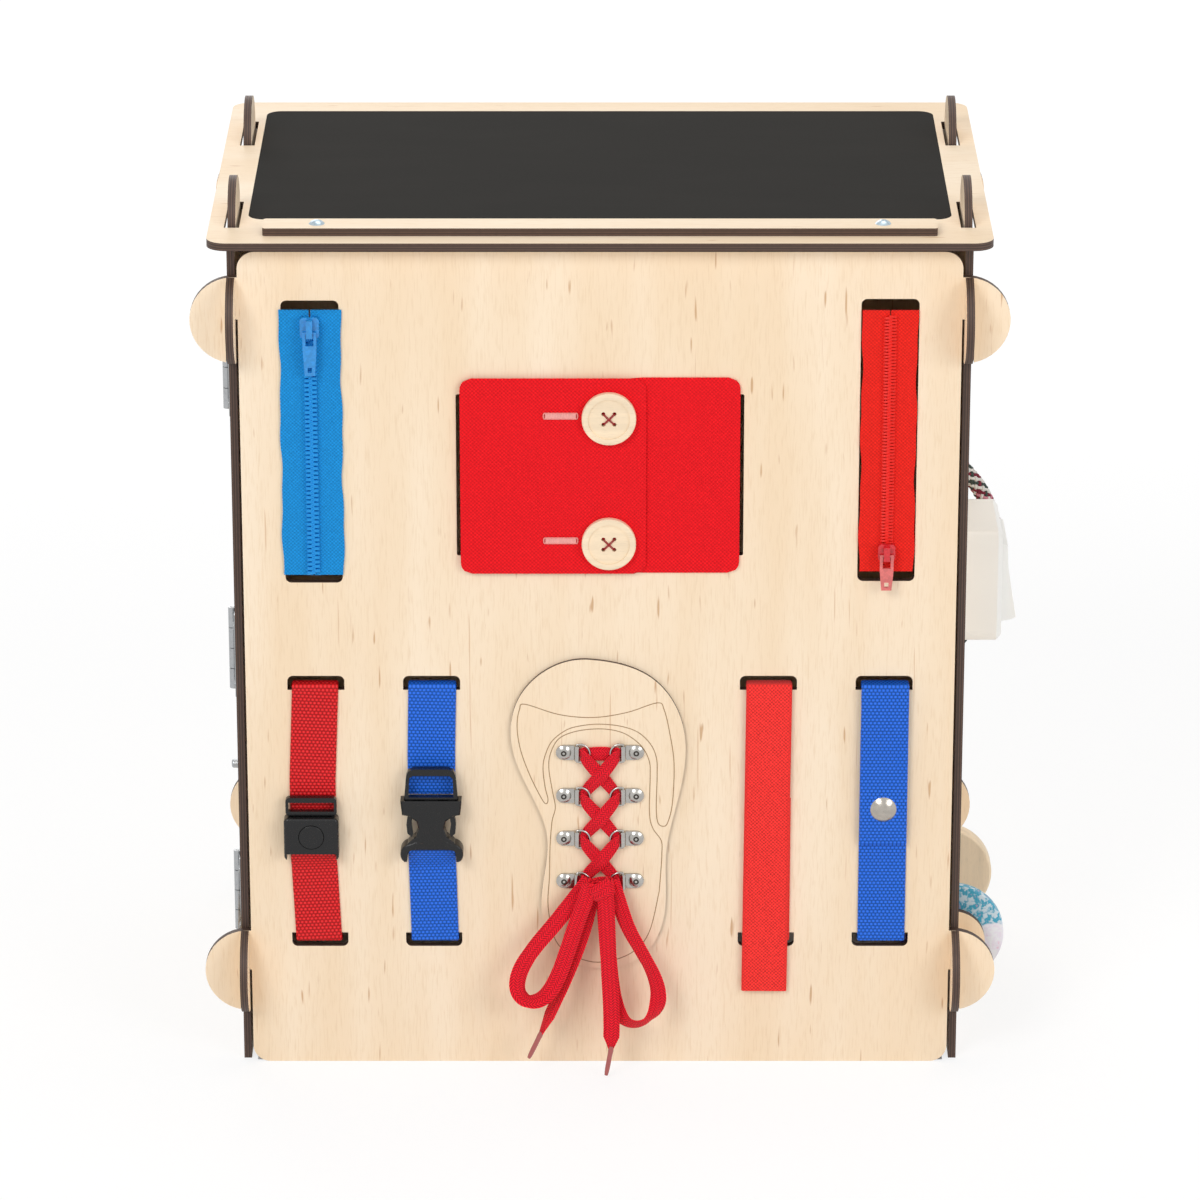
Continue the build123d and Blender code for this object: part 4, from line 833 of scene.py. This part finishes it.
def buckled_strap(kind, material, leans, buckle_top, buckle_foot, end_z):
    """A strap in two halves. The upper one comes out of the top slot with its buckle's tongue, and the lower
    one runs from the buckle round the foot slot and up behind the board."""
    bend, slot = 1.3, f"{kind}_webbing"
    upper, lower = f"{kind}_strap_upper", f"{kind}_strap_lower"
    low, high = extent(upper)
    corners = [(BEHIND, 210.2), (BEHIND, SLOT_TOP), (BEFORE, SLOT_TOP), (BEFORE, low[2])]
    lean = (leans[0], 0, 210, buckle_top + 2)
    piece = strap(f"{kind}_webbing_upper", upper, corners, None, material, bend, lean)
    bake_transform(piece)
    in_buckle = extent(lower)[0][1] + WEBBING_THICKNESS / 2
    corners = [(in_buckle, end_z), (in_buckle, end_z - 4), (BEFORE, end_z - 14)]
    corners += [(BEFORE, SLOT_FOOT), (BEHIND, SLOT_FOOT), (BEHIND, 210.1)]
    lean = (leans[1], 0, 70, buckle_foot)
    strap(f"{kind}_webbing_lower", lower, corners, "root", material, bend, lean)


def loop_strap(kind, material, base_end, drift=0.0):
    """A strap that loops behind the board, and whose free end comes out of the top slot and down the board's
    front. drift is how far to the right that end lies."""
    bend, base, flap = 1.1, f"{kind}_strap_base", f"{kind}_strap_flap"
    corners = [(BEFORE, base_end), (BEFORE, SLOT_FOOT), (BEHIND, SLOT_FOOT), (BEHIND, 210.0)]
    strap(f"{kind}_base", base, corners, "root", material, bend)
    low, high = extent(flap)
    front, end_z = low[1] + WEBBING_THICKNESS / 2, low[2]
    corners = [(BEHIND, 210.4), (BEHIND, SLOT_TOP), (front, SLOT_TOP), (front, end_z)]
    piece = strap(f"{kind}_flap", flap, corners, None, material, bend, (0, drift, 206, end_z))
    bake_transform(piece)


# One round ear at the foot of the side-release buckle, as distances from its middle and heights.
socket_ear = [
    (7.4, 129.2), (10.6, 128.2), (13.6, 127.1), (15.6, 124.9), (16.3, 122.0), (15.7, 119.3),
    (14.3, 117.8), (12.9, 118.2), (12.6, 120.6), (11.8, 123.6), (9.6, 124.9), (7.4, 125.6),
]


def lobe(centre_x, side, front, back, outline):
    """A flat lobe of a buckle with a softened front edge. Its outline is (across, height) pairs."""
    middle = sum((Vector(corner) for corner in outline), Vector((0, 0))) / len(outline)
    rings = []
    for y, share in ((back, 1.0), (front + 0.9, 1.0), (front + 0.3, 0.93), (front, 0.8)):
        plan = [middle + (Vector(corner) - middle) * share for corner in outline]
        rings.append([Vector((centre_x + side * u, y, v)) for u, v in plan])
    return loft(rings)


class BOARD_OT_buckled_straps(bpy.types.Operator):
    """Make the two straps with buckles, finish the buckles, and add round ears to the side-release one"""

    bl_idname = "board.buckled_straps"
    bl_label = "Buckled straps"

    def execute(self, context):
        colours = context.scene.board_colours
        red = webbing("red ribbed webbing", colours.red_webbing)
        buckled_strap("red", red, (2.1, 2.1), buckle_top=158, buckle_foot=118, end_z=125.9)
        black = moulded("black moulded acetal", colours.buckle, 0.27, 0.5, 0.2)
        finish_nodes(black, "press_buckle_body", "press_buckle_tongue", "press_button")
        finish_nodes(black, "side_buckle_socket", "side_buckle_prongs")
        (left, _, _), (right, _, _) = extent("blue_strap_lower")
        (_, front, _), (_, back, _) = extent("side_buckle_socket")
        outline = smooth(socket_ear, True, 4)
        ears = [lobe((left + right) / 2, side, front - 0.3, back, outline) for side in (-1, 1)]
        put("side_socket_ears", joined(ears), "root", black, (), 60)
        blue = webbing("blue ribbed webbing", colours.blue_webbing)
        buckled_strap("blue", blue, (0.8, 1.1), buckle_top=172, buckle_foot=115, end_z=126.7)
        return {"FINISHED"}


class BOARD_OT_loop_straps(bpy.types.Operator):
    """Make the coral hook-and-loop strap and the blue snap strap, and finish the snap"""

    bl_idname = "board.loop_straps"
    bl_label = "Hook-and-loop and snap straps"

    def execute(self, context):
        colours = context.scene.board_colours
        loop_strap("touch", loop_tape(colours.coral_tape), base_end=150.0, drift=-1.2)
        ribs = webbing("blue snap webbing", colours.blue_webbing)
        loop_strap("snap", ribs, base_end=188.0)
        finish_nodes(plated("nickel plate", "#B8B2A9", 0.2), "snap_cap", "snap_stud")
        return {"FINISHED"}


# ---------------------------------------------------------------- lacing shoe
# The lines burnt on the shoe: its collar, and the two halves of its tongue.
collar_line = [
    (-38.5, 202.5), (-21, 196.8), (-3.2, 195.2), (14, 198), (29.5, 203.3), (33.0, 199.4), (35.8, 187.1),
    (38.2, 169.8), (37.5, 148.1), (35.0, 136.5), (32.4, 134.6), (29.9, 136.9), (29.1, 145.2), (29.5, 162.6),
    (29.1, 172.7), (25.9, 180.6), (19.4, 187.1), (10.4, 190.4), (-0.2, 191.5), (-9.8, 190.6), (-17.4, 188.2),
    (-24.7, 182.1), (-28.3, 174.1), (-29.4, 166.9), (-28.4, 156.8), (-26.9, 149.7), (-27.9, 147.2),
    (-30.2, 150.1), (-36.0, 162.6), (-40.9, 177.0), (-42.7, 190.1), (-41.4, 199.6),
]
tongue_lines = [
    [
        (-26.3, 104.8), (-25.9, 122.8), (-25.2, 133.7), (-24.6, 138.7), (-23.1, 145.2), (-24.5, 153.9),
        (-26.4, 166.9), (-25.4, 175.6), (-21.1, 183.5), (-12.4, 187.5), (-0.9, 188.9), (8.4, 187.8),
        (15.0, 184.9), (21.6, 179.0), (25.4, 171.0), (25.9, 162.6), (25.6, 142.3), (27.3, 133.6),
        (31.7, 126.6), (32.1, 119.2), (31.6, 109.3), (30.8, 98.0),
    ],
    [
        (-26.3, 104.8), (-27.0, 89.2), (-23.6, 71.2), (-15.8, 62.4), (-1.1, 57.6), (15.5, 62.4),
        (25.4, 74.2), (30.8, 98.0),
    ],
]
shoe_front = -4.0
# The heights of the four rows of rings, from the top down.
lace_rows = (176.1, 152.1, 128.2, 104.3)


def burnt_strip(points, closed, width):
    """A shallow line on the shoe along a smooth curve through (x, z) points."""
    line = [Vector((x, shoe_front, z)) for x, z in smooth(points, closed)]
    if closed:
        line.append(line[0].copy())
    proud, sunk = 0.05, 0.03
    section = [(-width / 2, sunk), (width / 2, sunk), (width / 2, -proud), (-width / 2, -proud)]
    across = [tangent.cross(Y_AXIS).normalized() for tangent in tangents(line)]
    return band(line, across, section)[:2]


class BOARD_OT_shoe(bpy.types.Operator):
    """Engrave the shoe and finish its clips and rings"""

    bl_idname = "board.shoe"
    bl_label = "Lacing shoe"

    def execute(self, context):
        width = context.scene.board_sizes.engraving / MM
        lines = [burnt_strip(collar_line, True, width)]
        lines += [burnt_strip(line, False, width) for line in tongue_lines]
        char = burnt_line(context.scene.board_colours.birch)
        put("shoe_engraving", joined(lines), "root", char)
        finish_nodes(plated("barrel nickel plate", "#B9B6B1", 0.2), "lace_clips", "lace_rings")
        rivet_x, rivet_y = 18.7, -6.62
        profile = [(-0.1, 0.5), (0.1, 1.25), (0.0, 1.5), (-0.16, 1.5)]
        places = [Vector((side * rivet_x, rivet_y, z)) for z in lace_rows for side in (-1, 1)]
        dimples = joined([turned(place, -Y_AXIS, profile, 20) for place in places])
        # The dimples in the rivets' heads are dark nickel: painted shade in their hollows.
        put("rivet_dimples", dimples, "root", plated("nickel with painted shade", "#46423D", 0.35))
        return {"FINISHED"}


# ---------------------------------------------------------------- lace
def lace_section(sizes):
    thickness = sizes.lace_thickness / MM
    return flat_section(sizes.lace_width / MM, thickness * 0.6, thickness * 0.2)


def lace_half(side):
    """Half of the lace, from the middle of the top row down to the knot, beginning on one side. Each place
    has x, y, z, how much the braid's width leans, and its share of the full width."""
    top = lace_rows[0] - 0.6
    course = [(0, -5.0, top, 0.0, 0.9), (side * 5.0, -5.0, top, 0.0, 0.85)]
    for z, below in zip(lace_rows, lace_rows[1:]):
        course += through_ring(side, z)
        # Down to the other side, where the lace that comes from the right lies over the other.
        lean, crossing_y = 0.85 * side, -8.1 if side == 1 else -6.6
        course += [(side * 5.6, -7.5, z - 4.8, lean, 0.78), (0, crossing_y, (z + below) / 2, lean, 0.84)]
        course.append((-side * 5.6, -5.3, below + 4.6, lean, 0.74))
        side = -side
    foot = lace_rows[-1]
    course += through_ring(side, foot)
    return course + [(side * 4.5, -8.0, foot - 0.8, 0.0, 0.8), (side * 1.0, -9.4, foot - 0.8, 0.0, 0.9)]


def through_ring(side, z):
    """The lace's way round a ring, from behind it to its front."""
    behind, inside = (side * 8.4, -5.0, z + 0.4, 0.0, 0.6), (side * 9.6, -6.1, z - 0.2, 0.0, 0.56)
    return [behind, inside, (side * 8.4, -7.3, z - 0.9, 0.0, 0.62)]


class BOARD_OT_lacing(bpy.types.Operator):
    """Lace the shoe through its rings, and tie the knot"""

    bl_idname = "board.lacing"
    bl_label = "Lacing and knot"

    def execute(self, context):
        braid = flat_braid(context.scene.board_colours.lace)
        section = lace_section(context.scene.board_sizes)
        course = smooth(lace_half(-1)[:0:-1] + lace_half(1), False)[:-1]
        line = [Vector(place[:3]) for place in course]
        across = [Vector((-place[3], 0, 1)).normalized() for place in course]
        crossings = band(line, across, section, [place[4] for place in course])
        put("lace_crossings", crossings, "root", braid, ["lacing"], 50)
        knot_x, knot_z = 0.5, 103.6
        for name, radius_x, radius_y, middle_y, tilt in (
            ("lace_knot", 6.4, 4.6, -12.4, 0.15),
            ("lace_knot_tuck", 5.0, 3.9, -14.0, 0.62),
        ):
            ring = []
            for a in turns(40, 1):
                x = radius_x * cos(a)
                ring.append(Vector((knot_x + x, middle_y + radius_y * sin(a), knot_z + x * tilt)))
            wrap = band(ring, Vector((-tilt, 0, 1)).normalized(), section)
            put(name, wrap, "root", braid, (), 50)
        return {"FINISHED"}


def cord_line(name, route):
    """The smooth line of a cord's route, read from its spline, in millimetres."""
    curve = bpy.data.curves.new(name, "CURVE")
    curve.dimensions = "3D"
    spline = curve.splines.new("NURBS")
    spline.points.add(len(route) - 1)
    for place, point in zip(spline.points, route):
        place.co = (*(Vector(point) * MM), 1)
    spline.order_u = 3
    spline.use_endpoint_u = True
    spline.resolution_u = 10
    holder = bpy.data.objects.new(name, curve)
    bpy.context.scene.collection.objects.link(holder)
    bpy.context.view_layer.update()
    mesh = bpy.data.meshes.new_from_object(holder.evaluated_get(bpy.context.evaluated_depsgraph_get()))
    line = [vertex.co / MM for vertex in mesh.vertices]
    bpy.data.objects.remove(holder)
    bpy.data.curves.remove(curve)
    bpy.data.meshes.remove(mesh)
    return line


def twisted(line, twists):
    """The width's direction along a lace: in the board's plane, turned by angles given at even places."""
    across = []
    for n, tangent in enumerate(tangents(line)):
        flat = tangent.cross(Y_AXIS)
        flat = flat.normalized() if flat.length > 0.05 else across[-1]
        place = n / (len(line) - 1) * (len(twists) - 1)
        low = min(int(place), len(twists) - 2)
        angle = radians(twists[low] + (twists[low + 1] - twists[low]) * (place - low))
        across.append(spoke(flat, tangent.cross(flat), angle))
    return across


# The routes of the bow's loops and ends, in millimetres, from the knot outwards.
loop_left_route = [
    (-5.5, -12.0, 107.5), (-12.9, -12.0, 97.4), (-23.5, -14.0, 83.7), (-34.6, -17.0, 71.3),
    (-42.4, -19.6, 59.0), (-43.6, -21.3, 48.4), (-37.4, -22.0, 42.2), (-28.6, -21.3, 44.6),
    (-21.9, -19.8, 55.6), (-17.0, -18.0, 69.9), (-12.4, -16.8, 84.9), (-7.4, -16.0, 98.2),
    (-5.2, -15.6, 106.5),
]
loop_right_route = [
    (6.0, -12.0, 107.5), (9.3, -12.6, 97.0), (14.2, -14.0, 81.8), (21.7, -16.0, 68.8), (28.3, -18.0, 56.8),
    (31.0, -19.2, 45.6), (28.7, -19.7, 35.6), (21.4, -19.0, 28.6), (13.2, -17.0, 28.9), (7.8, -14.4, 37.2),
    (5.6, -12.4, 51.2), (4.0, -11.3, 68.4), (2.9, -10.7, 86.1), (1.8, -10.4, 105.5),
]
tail_left_route = [
    (-3.0, -10.4, 107.5), (-5.6, -10.6, 91.3), (-10.6, -11.5, 72.4), (-17.4, -13.9, 53.2),
    (-24.5, -16.4, 37.1), (-31.5, -18.0, 21.8),
]
tail_right_route = [
    (2.2, -16.2, 109.0), (3.3, -16.6, 96.0), (3.9, -17.5, 79.4), (4.7, -19.0, 59.6), (5.9, -20.5, 39.3),
    (6.1, -21.4, 24.6), (5.6, -21.9, 15.2),
]
# Where the two stiff tips end.
tip_left, tip_right = (-37.2, -18.4, 9.4), (3.2, -22.9, 1.6)


def stiff_tip(route, tip):
    """A tip of shrunk film on a lace's end, a little fuller where it grips the braid."""
    end, tip = Vector(route[-1]), Vector(tip)
    grip = end - (tip - end).normalized() * 2.5
    radii = [1.25, 1.45, 1.3, 1.3, 1.3, 1.3, 1.3, 1.25, 1.15, 0.9]
    return tube([grip] + [end.lerp(tip, n / 8) for n in range(9)], radii, 12)


class BOARD_OT_bow(bpy.types.Operator):
    """Hang the bow's two loops and two ends, with their stiff tips"""

    bl_idname = "board.bow"
    bl_label = "Bow"

    def execute(self, context):
        braid = flat_braid(context.scene.board_colours.lace)
        sizes = context.scene.board_sizes
        section = lace_section(sizes)
        film = moulded("shrunk film", linear("#AE5E5C"), 0.2, 0.6, 0.3)
        left_tip = put("left_aglet", stiff_tip(tail_left_route, tip_left), "root", film)
        right_tip = put("right_aglet", stiff_tip(tail_right_route, tip_right), "root", film)
        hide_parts("lace_aglets")
        gathered, tip_share = 5, 0.24
        for name, route, twists, length, far_end, pieces in (
            ("lace_loop_left", loop_left_route, (10, 25, 35, -10, -62, -20, 0, 5, 8), 0.1552, "object", []),
            ("lace_loop_right", loop_right_route, (8, 20, 30, 15, -55, -30, 10, 5, 0), 0.1738, "object", []),
            ("lace_tail_left", tail_left_route, (0, 15, 30, 45, 55, 60), 0.0911, "fitting", [left_tip]),
            ("lace_tail_right", tail_right_route, (5, 0, -10, -8, 0, 10), 0.0941, "fitting", [right_tip]),
        ):
            line = cord_line(name, route)
            shares = None
            if pieces:
                # The last few steps of the braid are gathered into its tip.
                into_tip = [max(0, n + gathered + 1 - len(line)) / gathered for n in range(len(line))]
                shares = [1 - (1 - tip_share) * share for share in into_tip]
            shape = band(line, twisted(line, twists), section, shares)
            piece = put(name + "_braid", shape, "root", braid, [name], 50)
        return {"FINISHED"}


# ---------------------------------------------------------------- left side
class BOARD_OT_doors(bpy.types.Operator):
    """Finish the hinges, latches and bolt of the left side, and add their screws"""

    bl_idname = "board.doors"
    bl_label = "Door fittings"

    def execute(self, context):
        zinc = plated("bright zinc plate", "#B4B6B8", 0.32)
        finish_nodes(zinc, "top_hinge_leaf", "middle_hinge_leaf", "bottom_hinge_leaf", "hinge_frame_leaves")
        finish_nodes(zinc, "middle_turn_catch", "bolt_guide", "slide_bolt")
        finish_nodes(turned_wood("sanded beech", context.scene.board_colours.beech, 2), "top_turn_button")
        # Each hinge has two screws in its door and two in the panel beside it.
        leaf_x, door_y, panel_y, from_middle = -188.4, 36.5, 13.5, 16.0
        spots_on = {"root": []}
        for door in ("top_door", "middle_door", "bottom_door"):
            low, high = extent(door)
            heights = [(low[2] + high[2]) / 2 + way * from_middle for way in (-1, 1)]
            spots_on[door] = [Vector((leaf_x, door_y, z)) for z in heights]
            spots_on["root"] += [Vector((leaf_x, panel_y, z)) for z in heights]
        steel = plated("zinc screw heads", "#9FA2A4", 0.3)
        profile = [(-0.2, 2.3), (0.15, 2.3), (0.5, 1.7), (0.62, 0.9), (0.4, 0.35)]
        for body, places in spots_on.items():
            heads = joined([turned(place, -X_AXIS, profile, 24) for place in places])
            put(f"{body}_screws", heads, body, steel)
        return {"FINISHED"}


# ---------------------------------------------------------------- right side
class BOARD_OT_switch(bpy.types.Operator):
    """Finish the light switch"""

    bl_idname = "board.switch"
    bl_label = "Light switch"

    def execute(self, context):
        white = moulded("white moulded ABS", context.scene.board_colours.switch, 0.33, 0.7, 0.15)
        finish_nodes(white, "switch_housing", "switch_rocker")
        return {"FINISHED"}


def braided(line, radius, lay):
    """A braid of yarns that run both ways round a core, with a shade number for each face."""
    palette = {1: (0, 1, 2, 1, 0, 1, 3, 1), -1: (2, 1, 0, 1, 2, 3, 0, 1)}
    framed, run = frames(line), running(line)
    parts, shades = [], []
    for way, row in palette.items():
        for first, shade in zip(turns(len(row)), row):
            strand = []
            for point, axes, s in zip(line, framed, run):
                turn = 2 * pi * s / lay
                out = radius * 0.79 + way * 0.42 * cos(len(row) * turn)
                strand.append(point + spoke(*axes, first + way * turn) * out)
            parts.append(tube(strand, radius * 0.245, 6))
            shades += [shade] * len(parts[-1][1])
    parts.append(tube(line, radius * 0.62, 10))
    shades += [0] * len(parts[-1][1])
    return joined(parts), shades


def even(line, step):
    """The same line with its points a step apart."""
    run = running(line)
    count = max(2, int(run[-1] / step))
    found, place = [], 0
    for n in range(count + 1):
        target = run[-1] * n / count
        while place < len(line) - 2 and run[place + 1] < target:
            place += 1
        span = run[place + 1] - run[place]
        found.append(line[place].lerp(line[place + 1], (target - run[place]) / span))
    return found


def overhand_knot(centre, size_round, size_through):
    """The line of a knot that is drawn tight: most of a trefoil."""
    line = []
    for n in range(97):
        t = 2 * pi * (n + 2) / 100
        x, y, w = sin(t) + 2 * sin(2 * t), cos(t) - 2 * cos(2 * t), -sin(3 * t)
        line.append(centre + Vector((w * size_through, x * size_round, y * size_round)))
    return line


# The rope's route from hole to hole, in millimetres.
rope_route = [
    (182.4, 138, 291.4), (197.6, 138, 277.2), (207.6, 138, 259.6), (211.6, 138, 239.6), (210.2, 138, 218.6),
    (203.4, 138, 199.4), (191.6, 138, 182.6), (182.4, 138, 173.8),
]


class BOARD_OT_rope(bpy.types.Operator):
    """Braid the rope handle and tie its two knots"""

    bl_idname = "board.rope"
    bl_label = "Rope handle"

    def execute(self, context):
        lay = context.scene.board_sizes.rope_lay / MM
        yarns = [yarn("dark green yarn", "#3F4B45"), yarn("white yarn", "#E9E6E0")]
        yarns += [yarn("burgundy yarn", "#7C2436"), yarn("pink yarn", "#D98C9B")]
        line = cord_line("rope_handle", rope_route)
        shape, shades = braided(even(line, 0.7), 4.0, lay)
        piece = put("rope_braid", shape, "root", yarns, ["rope_handle"], 80, shades)
        parts, shades = [], []
        for z in (287.0, 180.0):
            # The knots are tighter than the handle, so their yarns are drawn finer and steeper.
            shape, some = braided(overhand_knot(Vector((175.6, 138, z)), 1.75, 2.5), 2.7, lay * 0.6)
            parts.append(shape)
            shades += some
        put("rope_knot_ties", joined(parts), "root", yarns, ["rope_knots"], 80, shades)
        return {"FINISHED"}


class BOARD_OT_wheels(bpy.types.Operator):
    """Finish the two wheels and their axle"""

    bl_idname = "board.wheels"
    bl_label = "Spinning wheels"

    def execute(self, context):
        beech = context.scene.board_colours.beech
        finish_nodes(wheel_paint(), "colour_wheel")
        finish_nodes(turned_wood("turned beech", beech, 2), "wooden_wheel")
        finish_nodes(turned_wood("beech dowel", beech, 1), "wheel_axle")
        return {"FINISHED"}


# ---------------------------------------------------------------- stage, in metres
def seen_directly(tree):
    """1 for a ray that shows the background: from the camera, or by way of metal or glass."""
    path = add(tree, "LightPath").node.outputs
    seen = add(tree, "Math", {0: path["Is Camera Ray"], 1: path["Is Glossy Ray"]}, operation="MAXIMUM")
    return add(tree, "Math", {0: seen, 1: path["Is Transmission Ray"]}, operation="MAXIMUM")


def white_floor():
    """A wide matt white floor. Its middle lies inside the box, where it is in the box's own shade."""
    mesh = bpy.data.meshes.new("floor")
    wide, deep = (-14, -0.18, 0.18, 14), (-8, 0.0, 0.225, 20)
    quads = [(4 * j + i, 4 * j + i + 1, 4 * j + i + 5, 4 * j + i + 4) for j in range(3) for i in range(3)]
    mesh.from_pydata([(x, y, 0) for y in deep for x in wide], [], quads)
    grey = (0.88, 0.88, 0.88, 1)
    for name in ("matt white floor", "matt white floor in the box"):
        mesh.materials.append(new_material(name, Roughness=1.0, Specular_IOR_Level=0.0, Base_Color=grey)[0])
    mesh.polygons[4].material_index = 1
    # Around the box the floor takes its shadow, and farther off it fades into the white of the backdrop.
    tree = mesh.materials[0].node_tree
    glow = add(tree, "Emission", {"Color": (1, 1, 1, 1), "Strength": 1.08})
    place = add(tree, "TexCoord", output="Object")
    away = add(tree, "VectorMath", {0: place}, 1, operation="LENGTH")
    away = add(tree, "MapRange", {0: away, 1: 0.7, 2: 2.4, 3: 0.72, 4: 1.0})
    share = add(tree, "Math", {0: seen_directly(tree), 1: away}, operation="MULTIPLY")
    surface = tree.nodes["Principled BSDF"].outputs[0]
    blend = add(tree, "MixShader", {0: share, 1: surface, 2: glow})
    tree.links.new(blend, tree.nodes["Material Output"].inputs["Surface"])
    return mesh


class BOARD_OT_stage(bpy.types.Operator):
    """Set up the floor, lamps, world and camera"""

    bl_idname = "board.stage"
    bl_label = "Stage"

    def execute(self, context):
        scene = context.scene
        scene.view_settings.view_transform = "Standard"
        floor = bpy.data.objects.new("floor", white_floor())
        scene.collection.objects.link(floor)
        world = bpy.data.worlds.new("studio")
        world.use_nodes = True
        scene.world = world
        tree = world.node_tree
        tree.nodes.clear()
        # The backdrop is white to the eye, and lights the board less than that.
        strength = add(tree, "MapRange", {0: seen_directly(tree), 3: 0.46, 4: 1.0})
        ground = add(tree, "Background", {"Color": (1, 1, 1, 1), "Strength": strength})
        tree.links.new(ground, tree.nodes.new("ShaderNodeOutputWorld").inputs["Surface"])
        lit = Vector((0, 0.1, 0.22))
        for name, place, power, width in (
            ("key", (-1.5, -2.6, 2.4), 45, 1.6),
            ("fill", (2.2, -2.4, 1.6), 30, 1.8),
            ("top", (0.3, 0.6, 2.6), 12, 1.6),
            ("back", (-0.8, 3.2, 1.5), 17, 1.8),
        ):
            lamp = bpy.data.lights.new(name, "AREA")
            lamp.energy, lamp.size, lamp.shape = power, width, "DISK"
            held = bpy.data.objects.new(name, lamp)
            held.location = place
            held.rotation_mode = "QUATERNION"
            held.rotation_quaternion = (lit - Vector(place)).to_track_quat("-Z", "Y")
            scene.collection.objects.link(held)
        lens = bpy.data.cameras.new("camera")
        lens.lens, lens.sensor_width = 182.0, 36.0
        lens.clip_start, lens.clip_end = 0.1, 60
        camera = bpy.data.objects.new("camera", lens)
        aim_y, aim_z, pitch, reach = -0.002, 0.259, radians(20.6), 3.1
        camera.location = (0, aim_y - reach * cos(pitch), aim_z + reach * sin(pitch))
        camera.rotation_euler = (pi / 2 - pitch, 0, 0)
        scene.collection.objects.link(camera)
        scene.camera = camera
        return {"FINISHED"}


class BOARD_PT_sidebar(bpy.types.Panel):
    """Lists the board's pieces, colours and sizes"""

    bl_idname = "BOARD_PT_sidebar"
    bl_label = "Busy Board"
    bl_space_type = "VIEW_3D"
    bl_region_type = "UI"
    bl_category = "Busy Board"

    def draw(self, context):
        for operator in operators:
            self.layout.operator(operator.bl_idname)
        for group in (context.scene.board_colours, context.scene.board_sizes):
            column = self.layout.column()
            for name in group.__annotations__:
                column.prop(group, name)


operators = (
    BOARD_OT_stage,
    BOARD_OT_bow,
    BOARD_OT_rope,
    BOARD_OT_lacing,
    BOARD_OT_plywood,
    BOARD_OT_lid,
    BOARD_OT_zips,
    BOARD_OT_cloth,
    BOARD_OT_buckled_straps,
    BOARD_OT_loop_straps,
    BOARD_OT_shoe,
    BOARD_OT_doors,
    BOARD_OT_switch,
    BOARD_OT_wheels,
)
classes = (BoardColours, BoardSizes, *operators, BOARD_PT_sidebar)


def register():
    for each in classes:
        bpy.utils.register_class(each)
    bpy.types.Scene.board_colours = PointerProperty(type=BoardColours)
    bpy.types.Scene.board_sizes = PointerProperty(type=BoardSizes)


def unregister():
    del bpy.types.Scene.board_sizes
    del bpy.types.Scene.board_colours
    for each in reversed(classes):
        bpy.utils.unregister_class(each)


def main():
    register()
    for operator in operators:
        getattr(bpy.ops.board, operator.bl_idname.split(".")[1])()


if __name__ == "__main__":
    main()
